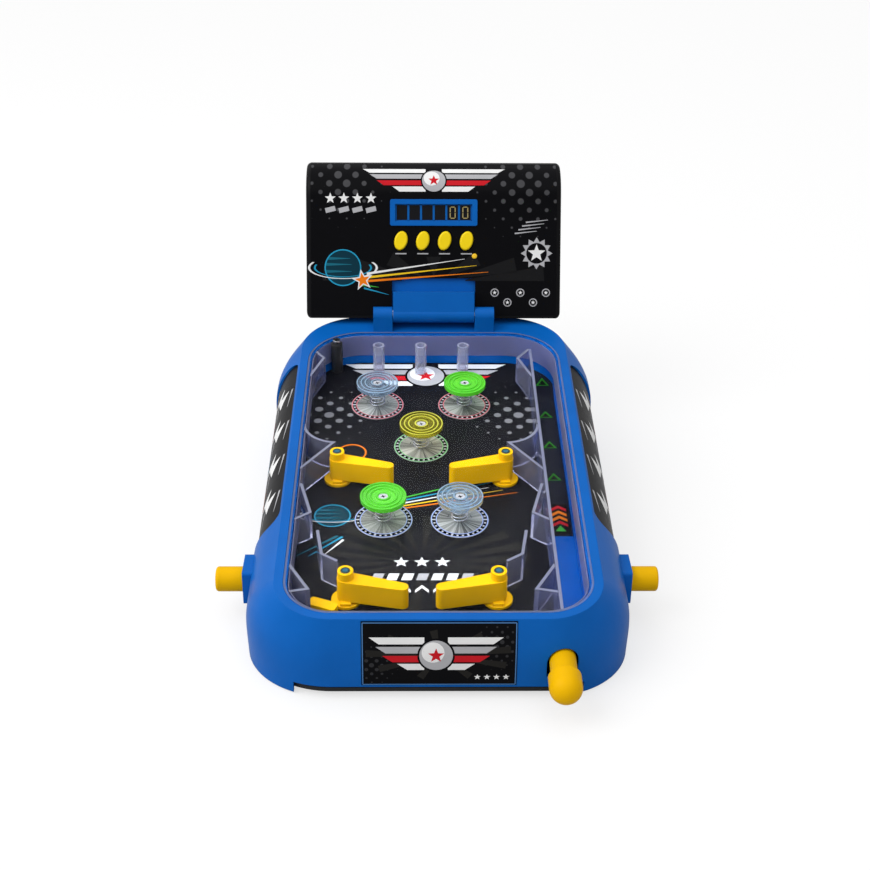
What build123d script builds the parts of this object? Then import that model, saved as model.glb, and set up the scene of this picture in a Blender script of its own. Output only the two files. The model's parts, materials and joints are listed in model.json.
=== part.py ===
from build123d import *
import os
from math import atan2, cos, degrees, pi, radians, sin, sqrt, tan

# Tabletop pinball game. Millimetres and degrees, +Z up, +Y away from the player.
# The origin is on the table, under the middle of the whole game.
os.makedirs("parts", exist_ok=True)

# Body shell
body_length = 380.0
rim_half_width = 105.5
belt_swell = 20.5
front_tuck = 5.5
wall = 3.0
roof = 3.0
table_gap = 1.0
arch_inset = 13.5
arch_height = 9.0
arch_depth = 24.0
rim_front_radius = 38.0
rim_rear_radius = 49.0
belt_front_radius = 58.0
belt_rear_radius = 60.0
# The sides swell to the belt and draw in below it, measured down from the rim
belt_depth = 36.0
belt_fall = 120.0
form_depth = 120.0
form_levels = 10

# Playfield, measured on the tilted field: u to the right, v up the field, w out of it
field_tilt = 6.0
field_height = 34.3
flipper_setback = 58.0
field_depth = 26.0
cover_thickness = 2.0
cover_gap = 0.2
rim_band = 6.0
rear_ledge = 24.5
cover_ledge = 2.5
skirt_wall = 4.0
board_thickness = 1.0
deck_thickness = 3.0
fit_gap = 0.3
running_gap = 0.05

# Ball lane along the right side
lane_width = 17.2
lane_margin = 0.5
lane_depth = 6.0
lane_floor = 2.0
lane_wall = 2.5
lane_end_gap = 17.7
ramp_length = 30.0
divider_thickness = 2.0
divider_margin = 1.3
divider_end_gap = 4.0
divider_front_gap = 3.0
strip_start = 76.0
strip_thickness = 0.4
ball_radius = 6.0
ball_place = -17.0

# Clear guide walls and tubes under the cover
guide_thickness = 2.0
guide_lift = 4.0
tube_radius = 4.6
tube_bore = 3.0
tube_spread = 0.392
tube_setback = 15.7
post_bearing = 128.1
post_margin = 0.6
# Guide walls on one side, as shares of half the field's width and of the field's length
guide_paths = [
    [(1.0, 0.9275), (0.89, 0.8825), (1.0, 0.7908)],
    [(0.974, 0.317), (0.879, 0.2069), (1.0, 0.1802)],
    [(0.809, 0.1401), (0.763, 0.0567), (0.6416, 0.0317)],
    [(1.0, 0.02), (0.844, -0.0617), (1.0, -0.0717)],
]
guide_arc = [(1.0, 0.5672), (0.925, 0.5138), (0.74, 0.4871)]
guide_arc_return = (1.0, 0.377)

# Bumpers, as shares of half the field's width and of the field's length
bumper_places = {
    "upper_left": (-0.394, 0.7858),
    "upper_right": (0.394, 0.7858),
    "middle": (0.0, 0.5939),
    "lower_left": (-0.31, 0.2903),
    "lower_right": (0.31, 0.2903),
}
decal_radius = 20.5
decal_thickness = 0.4
post_radius = 3.2
post_foot_radius = 8.5
post_foot_height = 1.6
cap_radius = 16.2
cap_level = 18.4
cap_thickness = 2.2
cap_hub_radius = 5.0
cap_ring_height = 0.8
cap_ring_width = 1.3
cap_ring_pitch = 3.1
cap_ring_count = 3
spring_wire = 1.0
spring_radius = 5.6
spring_turns = 3
coil_samples = 240

# Flippers, as shares of half the field's width and of the field's length
flipper_places = {"lower": (0.5746, 0.0), "upper": (0.704, 0.4505)}
flipper_share = 0.4855
flipper_rest_angle = -14.0
flipper_swing = 45.0
boss_radius = 5.75
flipper_tip_radius = 3.75
flipper_ring_radius = 5.2
flipper_blade_low = 4.0
flipper_blade_high = 20.0
flipper_flange_radius = 9.8
flipper_flange = 2.0
pin_socket_radius = 3.3
pin_socket_depth = 11.0
shaft_radius = 3.0
stop_width = 7.0
stop_reach = 8.5

# Flipper cranks and link bars under the deck
crank_radius = 12.0
crank_thickness = 4.5
crank_hub_radius = 6.0
crank_eye_radius = 4.0
crank_pin_radius = 2.0
link_thickness = 3.6
link_width = 6.0
link_eye_radius = 4.5

# Side buttons
button_reach = 24.0
button_radius = 8.5
button_round = 2.0
button_place = 36.0
button_stem_radius = 2.5
button_flange_radius = 10.5
button_flange = 2.5
button_spring_wall = 1.6
boss_proud = 5.0
boss_depth = 10.0
boss_size = 25.0
guide_rib_gap = 2.5
guide_rib = 3.0
guide_rib_width = 14.0

# Plunger
plunger_shift = 0.5
plunger_level = -1.5
plunger_travel = 15.0
stem_radius = 8.5
stem_root = 52.0
knob_radius = 10.5
knob_length = 9.0
knob_tip = 90.2
rod_radius = 3.0
hammer_thickness = 4.7
hammer_overlap = 6.0
hammer_margin = 4.5
hammer_top = 4.5
gate_room = 2.4
bracket_thickness = 3.0
plunger_hole_radius = 10.0
plunger_spring_wall = 0.9

# Side panels and front label
panel_sink = 1.8
panel_thickness = 2.4
panel_front = 54.5
panel_rear_gap = 64.7
panel_rear_slant = 16.0
panel_top_drop = 1.7
panel_foot = 14.0
panel_root_depth = 3.0
panel_corner = 9.0
panel_flange = 4.0
label_half_width = 48.5
label_low = 10.8
label_high = 55.4
label_thickness = 0.9
label_proud = 0.3

# Drain block
drain_share = 0.74
drain_place = -13.0
drain_length = 19.0
drain_width = 8.0
drain_height = 9.0
drain_angle = -22.0

# Base tray, battery box and feet
base_low = 3.0
base_thickness = 3.0
foot_radius = 9.0
foot_inset = 13.5
foot_front = 36.0
foot_rear_gap = 40.0
foot_chamfer = 0.5
deck_post_radius = 4.0
deck_post_inset = 11.0
deck_post_front = -20.0
deck_post_bay_gap = 25.0
deck_post_bay_front = -26.0
deck_post_lane_gap = 10.0
deck_post_rows = (0.267, 0.634)
deck_post_rear_gap = 24.7
deck_post_rear_spread = 0.428
housing_post_radius = 4.0
housing_post_front = 57.85
housing_post_front_out = 1.0
housing_post_corner = 47.7
housing_post_corner_in = 2.5
housing_post_rear = 14.2
housing_post_rear_gap = 9.0
screw_head_radius = 3.0
screw_head = 1.6
screw_radius = 1.4
screw_length = 12.0
battery_radius = 7.25
battery_length = 50.5
battery_nub = 2.75
battery_nub_height = 1.2
battery_pitch = 15.2
battery_count = 3
battery_x = -10.0
battery_setback = 185.0
battery_margin = 3.0
contact_thickness = 0.5
contact_size = 11.6
box_wall = 2.0
door_thickness = 2.0
ridge_height = 0.5

# Score box on its hinge
hinge_inset = 17.5
hinge_rise = 12.26
hinge_pin_radius = 2.5
lug_radius = 6.5
lug_outer = 49.0
lug_foot_width = 9.75
lug_foot_shift = 1.6
neck_half_width = 33.0
neck_gap = 0.4
neck_radius = 6.3
neck_block_front = -5.8
neck_block_top = 18.6
neck_plate_half_width = 42.0
neck_plate_thickness = 4.0
score_tilt = 21.5
score_half_width = 104.0
score_depth = 38.0
face_drop = 7.5
face_low = -3.0
face_high = 97.0
roll_radius = 29.0
roll_turn = 59.0
score_wall = 2.5
score_edge_round = 4.0
score_split = 22.0
notch_half_width = 34.0
notch_top = 29.6
sheet_thickness = 0.6
sheet_margin = 2.6
bezel_width = 71.0
bezel_height = 21.3
bezel_proud = 1.6
bezel_level = 82.7
window_width = 62.6
window_height = 13.4
board_depth = 16.0
circuit_thickness = 1.6
circuit_width = 92.0
circuit_low = 42.0
circuit_high = 96.0
peg_radius = 2.5
key_count = 4
key_pitch = 17.8
key_level = 60.0
key_width = 10.6
key_height = 15.6
key_slant = -14.0
key_proud = 3.0
key_travel = 1.5
key_flange = 1.4
lamp_x = 33.3
lamp_level = 47.6
lamp_radius = 2.2
lamp_proud = 1.0
speaker_radius = 20.0
speaker_depth = 9.0
speaker_level = 52.0
grille_radius = 1.3
grille_pitch = 5.0
grille_count = 6
score_post_radius = 3.5
score_post_x = 88.0
score_post_low = 26.0
score_post_high = 90.0

# Worked out from the sizes above
sin_t = sin(radians(field_tilt))
cos_t = cos(radians(field_tilt))
rim_level = field_depth + cover_thickness
body_half_width = rim_half_width + belt_swell
play_half_width = rim_half_width - rim_band - cover_ledge
rim_front = (-flipper_setback + front_tuck + rim_level * sin_t) / cos_t
rim_rear = (body_length - flipper_setback + rim_level * sin_t) / cos_t
play_front = rim_front + rim_band + cover_ledge
play_rear = rim_rear - rear_ledge - cover_ledge
rear_corner = rim_rear_radius - rim_band - cover_ledge
deck_front = play_front - skirt_wall
bracket_back = fit_gap - deck_front
rear_rim_height = field_height + (rim_rear - rear_ledge) * sin_t + rim_level * cos_t
hinge_setback = body_length - hinge_inset
hinge_height = rear_rim_height + hinge_rise
crown_radius = (score_depth - roll_radius * (1 - cos(radians(roll_turn)))) / (1 + cos(radians(roll_turn)))
crown_depth = face_drop + score_depth - crown_radius
crown_level = face_high + (roll_radius - crown_radius) * sin(radians(roll_turn))
back_reach = crown_depth * cos(radians(score_tilt)) + crown_level * sin(radians(score_tilt)) + crown_radius
knob_reach = knob_tip * cos_t + plunger_level * sin_t - flipper_setback
front_y = knob_reach - (knob_reach + hinge_setback + back_reach) / 2
field_y = front_y + flipper_setback
hinge_y = front_y + hinge_setback

lane_right = play_half_width - lane_margin
lane_left = lane_right - lane_width
lane_x = (lane_left + lane_right) / 2
lane_end = play_rear - lane_end_gap
divider_end = lane_end - divider_end_gap
divider_x = lane_left - divider_margin - divider_thickness / 2
play_centre = (divider_x - divider_thickness / 2 - play_half_width) / 2
play_half = divider_x - divider_thickness / 2 - play_centre
flipper_reach = flipper_share * play_half
plunger_x = divider_x + plunger_shift
hammer_left = divider_x - hammer_overlap
hammer_right = lane_right - hammer_margin
boss_face = body_half_width + boss_proud
boss_root = body_half_width - boss_depth
guide_rib_place = play_half_width + guide_rib_gap
foot_x = rim_half_width - foot_inset
deck_top = -board_thickness
deck_under = deck_top - deck_thickness
trough_under = -lane_depth - lane_floor
crank_low = deck_under - fit_gap - crank_thickness
link_high = crank_low - fit_gap
link_low = link_high - link_thickness
link_level = (link_high + link_low) / 2
hammer_face = -(ball_place - ball_radius - fit_gap)
hammer_back = hammer_face + hammer_thickness

field_plane = Plane(origin=(0, field_y, field_height), x_dir=(1, 0, 0), z_dir=(0, -sin_t, cos_t))
side_plane = Plane(origin=field_plane.origin, x_dir=(0, cos_t, sin_t), z_dir=(1, 0, 0))
plunger_plane = Plane(
    origin=field_plane.from_local_coords((plunger_x, 0, plunger_level)), x_dir=(1, 0, 0), z_dir=(0, -cos_t, -sin_t)
)
score_side = Plane(
    origin=(0, hinge_y, hinge_height),
    x_dir=(0, cos(radians(score_tilt)), -sin(radians(score_tilt))),
    z_dir=(1, 0, 0),
)
# Local z runs out of the score box's face, towards the player
score_face = Plane(origin=score_side.origin, x_dir=(1, 0, 0), z_dir=-score_side.x_dir)


def on_field(u, v, w=0.0):
    return field_plane.from_local_coords((u, v, w))


def level_at(v, z):
    """Level above the field of a point at height z."""
    return (z - field_height - v * sin_t) / cos_t


def keep(part, name):
    part.part.label = name
    export_step(part.part, f"parts/{name}.step")


def rounded_outline(half_width, front, rear, front_radius, rear_radius):
    """Rounded rectangle, with its own corner radius at the front and at the rear."""
    with Locations((0, (front + rear) / 2)):
        Rectangle(2 * half_width, rear - front)
    fillet(vertices().group_by(Axis.Y)[0], front_radius)
    fillet(vertices().group_by(Axis.Y)[-1], rear_radius)


def body_form(inset, top=0.0):
    """The body's outside, drawn in by inset, as one loft down its levels."""
    with BuildPart() as form:
        for step in range(form_levels + 1):
            depth = max(top, step * form_depth / form_levels)
            level = rim_level - depth
            share = 1 - ((depth - belt_depth) / (belt_depth if depth < belt_depth else belt_fall)) ** 2
            half_width = rim_half_width + (body_half_width - rim_half_width) * share - inset
            front = -flipper_setback + front_tuck * (1 - share) + inset
            rear = body_length - flipper_setback - inset
            front_radius = rim_front_radius + (belt_front_radius - rim_front_radius) * share - inset
            rear_radius = rim_rear_radius + (belt_rear_radius - rim_rear_radius) * share - inset
            with BuildSketch(field_plane.offset(level)):
                rounded_outline(
                    half_width,
                    (front + level * sin_t) / cos_t,
                    (rear + level * sin_t) / cos_t,
                    front_radius,
                    rear_radius,
                )
        loft()
    return form.part


def play_outline(outset):
    """Outline of the playing space, let out by outset."""
    corner = outset - rim_band - cover_ledge
    rounded_outline(
        play_half_width + outset,
        play_front - outset,
        play_rear + outset,
        rim_front_radius + corner,
        rim_rear_radius + corner,
    )


def side_window(shrink, side):
    """Prism through one side's opening, between the front bumper and the rear corner."""
    top = rim_level - panel_top_drop - shrink
    foot = panel_foot + shrink
    start = panel_front + shrink
    end_top = rim_rear - panel_rear_gap - shrink
    end_foot = end_top - panel_rear_slant
    with BuildPart() as window:
        with BuildSketch(side_plane.offset(side * (rim_half_width - panel_root_depth + max(shrink, 0)))):
            with BuildLine():
                Polyline(
                    (start, level_at(start, foot)),
                    (end_foot, level_at(end_foot, foot)),
                    (end_top, top),
                    (start, top),
                    close=True,
                )
            make_face()
            fillet(vertices(), panel_corner - shrink)
        extrude(amount=side * body_half_width)
    return window.part


def side_crank_angle(sign):
    """Direction of a crank arm at rest, from its flipper's shaft."""
    return radians(-90 - sign * -flipper_swing / 2)


def flipper_spot(row, sign):
    across, along = flipper_places[row]
    return play_centre + sign * across * play_half, along * play_rear


def crank_pin_spot(row, sign):
    u, v = flipper_spot(row, sign)
    angle = side_crank_angle(sign)
    return u + crank_radius * cos(angle), v + crank_radius * sin(angle)


def bumper_spot(name):
    across, along = bumper_places[name]
    return play_centre + across * play_half, along * play_rear


button_axis = on_field(0, button_place, link_level)
button_y = button_axis.Y
button_z = button_axis.Z
sides = {"left": -1, "right": 1}

# Front label pocket, cut into the body's front face
with BuildPart() as label_pocket:
    with BuildSketch(Plane.XZ.offset(-field_y)):
        with Locations((0, (label_low + label_high) / 2)):
            Rectangle(2 * (label_half_width + fit_gap), label_high - label_low + 2 * fit_gap)
    extrude(amount=2 * flipper_setback)
    add(body_form(label_thickness), mode=Mode.SUBTRACT)

# Hollow posts that take the base screws
housing_posts = []
for side in sides.values():
    housing_posts.append((side * (rim_half_width + housing_post_front_out), rim_front + housing_post_front))
    housing_posts.append((side * (rim_half_width - housing_post_corner_in), rim_rear - housing_post_corner))
    housing_posts.append((side * (lug_outer + housing_post_rear_gap), rim_rear - housing_post_rear))
with BuildPart() as screw_posts:
    with BuildSketch(Plane.XY.offset(base_low + base_thickness)):
        with Locations(*[(x, on_field(x, place, rim_level).Y) for x, place in housing_posts]):
            Circle(housing_post_radius)
            Circle(screw_radius + running_gap, mode=Mode.SUBTRACT)
    extrude(amount=hinge_height)
    add(body_form(wall / 2), mode=Mode.INTERSECT)

# Main housing: swollen outer shell, flat rim, inner skirt round the playfield
with BuildPart() as main_housing:
    add(body_form(0))
    add(body_form(wall, roof), mode=Mode.SUBTRACT)
    with BuildSketch(field_plane.offset(deck_top)):
        play_outline(skirt_wall)
    extrude(amount=field_depth - deck_top)
    with BuildSketch(field_plane.offset(deck_top)):
        play_outline(0)
    extrude(amount=field_depth - deck_top, mode=Mode.SUBTRACT)
    with BuildSketch(field_plane.offset(field_depth)):
        play_outline(cover_ledge)
    extrude(amount=cover_thickness, mode=Mode.SUBTRACT)
    add(screw_posts.part)
    # Square bosses that guide the side buttons
    for side in sides.values():
        with BuildSketch(Plane.YZ.offset(side * boss_root)):
            with Locations((button_y, button_z)):
                RectangleRounded(boss_size, boss_size, button_round)
        extrude(amount=side * (boss_face - boss_root))
        with BuildSketch(Plane.YZ.offset(side * boss_root)):
            with Locations((button_y, button_z)):
                Circle(button_radius + fit_gap)
        extrude(amount=side * (boss_face - boss_root), mode=Mode.SUBTRACT)
    # Side openings for the black panels
    for side in sides.values():
        add(side_window(0, side), mode=Mode.SUBTRACT)
    # Plunger opening, and the gate that lets the hammer pass under the skirt's front
    with BuildSketch(plunger_plane.offset(hammer_back)):
        Circle(plunger_hole_radius)
        with Locations((0, -plunger_hole_radius / 2)):
            Rectangle(2 * plunger_hole_radius, plunger_hole_radius)
    extrude(amount=flipper_setback, mode=Mode.SUBTRACT)
    with BuildSketch(field_plane.offset(deck_top)):
        with Locations(((hammer_left + hammer_right) / 2, -(hammer_face + hammer_back + plunger_travel) / 2)):
            Rectangle(hammer_right - hammer_left + gate_room / 2, hammer_thickness + plunger_travel + gate_room)
    extrude(amount=hammer_top - deck_top + 2 * fit_gap, mode=Mode.SUBTRACT)
    # Open arch under the front edge, and the edge that stands clear of the table
    with BuildSketch(Plane.XY):
        with Locations((0, front_y + arch_depth / 2)):
            Rectangle(2 * (rim_half_width - arch_inset), arch_depth)
    extrude(amount=arch_height, mode=Mode.SUBTRACT)
    split(bisect_by=Plane.XY.offset(table_gap), keep=Keep.TOP)
    add(label_pocket.part, mode=Mode.SUBTRACT)
    # Lugs that carry the score box's hinge pin
    for side in sides.values():
        lug_inner = neck_half_width + neck_gap
        with BuildSketch(Plane.YZ.offset(side * lug_inner)):
            with Locations((hinge_y, hinge_height)):
                Circle(lug_radius)
            lug_foot = rear_rim_height - roof / 2
            with Locations((hinge_y - lug_foot_shift, (hinge_height + lug_foot) / 2)):
                Rectangle(lug_foot_width, hinge_height - lug_foot)
        extrude(amount=side * (lug_outer - lug_inner))
    with BuildSketch(Plane.YZ):
        with Locations((hinge_y, hinge_height)):
            Circle(hinge_pin_radius + running_gap)
    extrude(amount=lug_outer, both=True, mode=Mode.SUBTRACT)
keep(main_housing, "main_housing")

# Front label: a thin plate that follows the front face
with BuildPart() as front_label:
    add(body_form(-label_proud))
    add(body_form(label_thickness), mode=Mode.SUBTRACT)
    with BuildSketch(Plane.XZ.offset(-field_y)):
        with Locations((0, (label_low + label_high) / 2)):
            Rectangle(2 * label_half_width, label_high - label_low)
    extrude(amount=2 * flipper_setback, mode=Mode.INTERSECT)
keep(front_label, "front_label")

# Side panels, each with a flange behind the opening's ends and foot
for side_name, side in sides.items():
    with BuildPart() as panel_flange_form:
        add(body_form(wall + fit_gap))
        add(body_form(panel_sink + panel_thickness), mode=Mode.SUBTRACT)
        add(side_window(-panel_flange, side), mode=Mode.INTERSECT)
        split(bisect_by=field_plane.offset(rim_level - panel_top_drop - panel_flange), keep=Keep.BOTTOM)
    with BuildPart() as side_panel:
        add(body_form(panel_sink))
        add(body_form(panel_sink + panel_thickness), mode=Mode.SUBTRACT)
        add(side_window(fit_gap, side), mode=Mode.INTERSECT)
        add(panel_flange_form.part)
    keep(side_panel, f"{side_name}_side_panel")

# Base tray: floor plate, posts under the deck, battery box and plunger bracket
battery_box_length = battery_length + battery_nub_height + 2 * battery_margin
battery_box_width = battery_count * battery_pitch + battery_margin / 2
battery_box_height = 2 * battery_radius + 2 * fit_gap
base_top = base_low + base_thickness
battery_y = front_y + battery_setback
deck_post_left = deck_post_inset - play_half_width
deck_posts = [
    (deck_post_left, deck_post_front),
    (divider_x - deck_post_bay_gap, deck_post_bay_front),
]
for row_share in deck_post_rows:
    deck_posts.append((deck_post_left, row_share * play_rear))
    deck_posts.append((divider_x - deck_post_lane_gap, row_share * play_rear))
for side in sides.values():
    deck_posts.append((play_centre + side * deck_post_rear_spread * play_half, play_rear - deck_post_rear_gap))
feet = [
    (side * foot_x, front_y + setback)
    for side in sides.values()
    for setback in (foot_front, body_length - foot_rear_gap)
]
with BuildPart() as base_tray:
    add(body_form(wall + fit_gap))
    split(bisect_by=Plane.XY.offset(base_low), keep=Keep.TOP)
    split(bisect_by=Plane.XY.offset(base_top), keep=Keep.BOTTOM)
    for x, place in deck_posts:
        spot = on_field(x, place, deck_under)
        with BuildSketch(field_plane.offset(deck_under)):
            with Locations((x, place)):
                Circle(deck_post_radius)
        extrude(amount=-(spot.Z - base_low - base_thickness / 2) / cos_t)
    with BuildSketch(Plane.XY.offset(base_low)):
        with Locations((battery_x, battery_y)):
            Rectangle(battery_box_length + 2 * box_wall, battery_box_width + 2 * box_wall)
    extrude(amount=base_thickness + battery_box_height + box_wall)
    with BuildSketch(Plane.XY.offset(base_low)):
        with Locations((battery_x, battery_y)):
            Rectangle(battery_box_length, battery_box_width)
    extrude(amount=base_thickness + battery_box_height, mode=Mode.SUBTRACT)
    # Upright bracket that guides the plunger rod
    bracket_foot = on_field(plunger_x, -bracket_back, plunger_level)
    with BuildSketch(plunger_plane.offset(bracket_back)):
        with Locations((0, rod_radius - (bracket_foot.Z - base_top) / 2 / cos_t)):
            Rectangle(4 * rod_radius, (bracket_foot.Z - base_top) / cos_t + 2 * rod_radius)
    extrude(amount=bracket_thickness)
    with BuildSketch(plunger_plane.offset(bracket_back)):
        Circle(rod_radius + running_gap)
    extrude(amount=bracket_thickness, mode=Mode.SUBTRACT)
    for x, place in housing_posts:
        with BuildSketch(Plane.XY.offset(base_low)):
            with Locations((x, on_field(x, place, rim_level).Y)):
                Circle(screw_radius + running_gap)
        extrude(amount=base_thickness, mode=Mode.SUBTRACT)
keep(base_tray, "base_tray")

with BuildPart() as rubber_feet:
    with BuildSketch(Plane.XY):
        with Locations(*feet):
            Circle(foot_radius)
    extrude(amount=base_low)
    chamfer(faces().sort_by(Axis.Z)[:len(feet)].edges(), foot_chamfer)
keep(rubber_feet, "rubber_feet")

with BuildPart() as base_screws:
    for x, place in housing_posts:
        spot_y = on_field(x, place, rim_level).Y
        with BuildSketch(Plane.XY.offset(base_low - screw_head)):
            with Locations((x, spot_y)):
                Circle(screw_head_radius)
        extrude(amount=screw_head)
        with BuildSketch(Plane.XY.offset(base_low)):
            with Locations((x, spot_y)):
                Circle(screw_radius)
        extrude(amount=screw_length)
keep(base_screws, "base_screws")

# Batteries, their contacts and the door under them
battery_low = base_top + fit_gap
with BuildPart() as batteries:
    for index in range(battery_count):
        flip = 1 if index % 2 else -1
        across = battery_y + (index - (battery_count - 1) / 2) * battery_pitch
        start = battery_x - flip * (battery_length + battery_nub_height) / 2
        with BuildSketch(Plane.YZ.offset(start)):
            with Locations((across, battery_low + battery_radius)):
                Circle(battery_radius)
        extrude(amount=flip * battery_length)
        with BuildSketch(Plane.YZ.offset(start + flip * battery_length)):
            with Locations((across, battery_low + battery_radius)):
                Circle(battery_nub)
        extrude(amount=flip * battery_nub_height)
keep(batteries, "batteries")

contact_x = battery_box_length / 2 - contact_thickness / 2
contact_reach = battery_margin - contact_thickness
with BuildPart() as battery_contacts:
    for index in range(battery_count):
        across = battery_y + (index - (battery_count - 1) / 2) * battery_pitch
        for side in sides.values():
            with Locations((battery_x + side * contact_x, across, battery_low + battery_radius)):
                Box(contact_thickness, contact_size, contact_size)
            nub_x = battery_x + side * (contact_x - contact_reach / 2)
            with Locations((nub_x, across, battery_low + battery_radius)):
                Box(contact_reach - 2 * running_gap, battery_nub, battery_nub)
keep(battery_contacts, "battery_contacts")

with BuildPart() as battery_door:
    with BuildSketch(Plane.XY.offset(base_low)):
        with Locations((battery_x, battery_y)):
            Rectangle(battery_box_length - 2 * running_gap, battery_box_width - 2 * running_gap)
    extrude(amount=door_thickness)
    # Finger ridges along the sliding edge
    with BuildSketch(Plane.XY.offset(base_low - ridge_height)):
        with Locations((battery_x, battery_y)):
            with GridLocations(battery_margin, 0, battery_count, 1):
                Rectangle(box_wall / 2, battery_box_width / 2)
    extrude(amount=ridge_height)
keep(battery_door, "battery_door")

# Field deck: plate under the board, with the ball lane sunk along its right side
bay_left = hammer_left - 2 * fit_gap
bay_end = -hammer_face + 2 * ball_radius
strip_end = lane_end - lane_wall - ramp_length
strip_width = lane_width - 2 * fit_gap
with BuildPart() as field_deck:
    with BuildSketch(field_plane.offset(deck_under)):
        play_outline(skirt_wall)
    extrude(amount=deck_thickness)
    with BuildSketch(field_plane.offset(trough_under)):
        with Locations(((lane_left + lane_right) / 2, (deck_front + lane_end) / 2)):
            Rectangle(lane_width + 2 * lane_wall, lane_end - deck_front)
        with Locations(((bay_left + lane_right) / 2, (deck_front + bay_end) / 2)):
            Rectangle(lane_right - bay_left + 2 * lane_wall, bay_end - deck_front + 2 * lane_wall)
    extrude(amount=deck_top - trough_under)
    with BuildSketch(field_plane.offset(deck_under)):
        play_outline(skirt_wall)
    extrude(amount=deck_under - trough_under, both=True, mode=Mode.INTERSECT)
    with BuildSketch(field_plane.offset(-lane_depth)):
        with Locations(((lane_left + lane_right) / 2, (deck_front + lane_end) / 2 - rim_band)):
            Rectangle(lane_width, lane_end - deck_front + 2 * rim_band - 2 * lane_wall)
        with Locations(((bay_left + lane_right) / 2, (deck_front + bay_end) / 2 - rim_band)):
            Rectangle(lane_right - bay_left, bay_end - deck_front + 2 * rim_band)
    extrude(amount=lane_depth, mode=Mode.SUBTRACT)
    # Shallow pocket for the printed strip, flush with the lane's floor
    with BuildSketch(field_plane.offset(-lane_depth - strip_thickness)):
        with Locations((lane_x, (strip_start + strip_end) / 2)):
            Rectangle(strip_width + 2 * running_gap, strip_end - strip_start + 2 * running_gap)
    extrude(amount=strip_thickness, mode=Mode.SUBTRACT)
    # Ramp that lifts the ball from the lane to the field
    with BuildSketch(side_plane.offset(lane_left)):
        with BuildLine():
            Polyline(
                (lane_end - lane_wall - ramp_length, -lane_depth),
                (lane_end - lane_wall, -lane_depth),
                (lane_end - lane_wall, deck_top),
                close=True,
            )
        make_face()
    extrude(amount=lane_width)
    # Shaft holes, and ribs that guide the button stems
    with BuildSketch(field_plane.offset(trough_under)):
        with Locations(*[flipper_spot(row, sign) for row in flipper_places for sign in sides.values()]):
            Circle(shaft_radius + running_gap)
    extrude(amount=deck_top - trough_under, mode=Mode.SUBTRACT)
    for side in sides.values():
        rib_low = link_level - 2 * button_stem_radius
        with BuildSketch(field_plane.offset(rib_low)):
            with Locations((side * guide_rib_place, button_place)):
                Rectangle(guide_rib, guide_rib_width)
        extrude(amount=deck_under - rib_low)
        with BuildSketch(Plane.YZ.offset(side * (guide_rib_place - guide_rib))):
            with Locations((button_y, button_z)):
                Circle(button_stem_radius + fit_gap)
        extrude(amount=side * 2 * guide_rib, mode=Mode.SUBTRACT)
keep(field_deck, "field_deck")

# Outline shared by the board and the guide walls
with BuildSketch() as play_area:
    play_outline(-fit_gap)

# Printed board on the deck, left of the lane, and the printed strip in the lane
board_right = divider_x
with BuildPart() as playfield_board:
    with BuildSketch(field_plane.offset(deck_top)):
        add(play_area.sketch)
        with Locations(((board_right - play_half_width) / 2, (play_front + play_rear) / 2)):
            Rectangle(board_right + play_half_width, play_rear - play_front, mode=Mode.INTERSECT)
        with Locations(((bay_left + board_right) / 2, (play_front + bay_end) / 2)):
            Rectangle(board_right - bay_left + 2 * fit_gap, bay_end - play_front + 2 * fit_gap, mode=Mode.SUBTRACT)
        with Locations(*[flipper_spot(row, sign) for row in flipper_places for sign in sides.values()]):
            Circle(shaft_radius + fit_gap, mode=Mode.SUBTRACT)
    extrude(amount=board_thickness)
keep(playfield_board, "playfield_board")

with BuildPart() as lane_strip:
    with BuildSketch(field_plane.offset(-lane_depth - strip_thickness)):
        with Locations((lane_x, (strip_start + strip_end) / 2)):
            Rectangle(strip_width, strip_end - strip_start)
    extrude(amount=strip_thickness)
keep(lane_strip, "lane_strip")


def guide_spot(sign, share):
    return play_centre + sign * share[0] * play_half, share[1] * play_rear


def guide_plan(sign):
    """Plan of the guide walls on one side: from the wall, round a tip and back."""
    with BuildSketch() as walls:
        with BuildLine():
            for path in guide_paths:
                Polyline(*[guide_spot(sign, share) for share in path])
            ThreePointArc(*[guide_spot(sign, share) for share in guide_arc])
            Line(guide_spot(sign, guide_arc[-1]), guide_spot(sign, guide_arc_return))
        trace(line_width=guide_thickness)
        add(play_area.sketch, mode=Mode.INTERSECT)
        with Locations((play_centre, (play_front + play_rear) / 2)):
            Rectangle(2 * (play_half - fit_gap), play_rear - play_front, mode=Mode.INTERSECT)
    return walls.sketch


# Clear cover sheet over the whole field
tube_spots = [
    (play_centre + index * tube_spread * play_half, play_rear - tube_setback) for index in (-1, 0, 1)
]
post_reach = rear_corner - tube_radius - post_margin
post_spot = (
    rear_corner - play_half_width + post_reach * cos(radians(post_bearing)),
    play_rear - rear_corner + post_reach * sin(radians(post_bearing)),
)
flipper_top = field_depth - fit_gap
with BuildPart() as clear_cover:
    with BuildSketch(field_plane.offset(field_depth)):
        play_outline(cover_ledge - cover_gap)
        with Locations(post_spot):
            Circle(screw_radius + running_gap, mode=Mode.SUBTRACT)
    extrude(amount=cover_thickness)
keep(clear_cover, "clear_cover")

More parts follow.
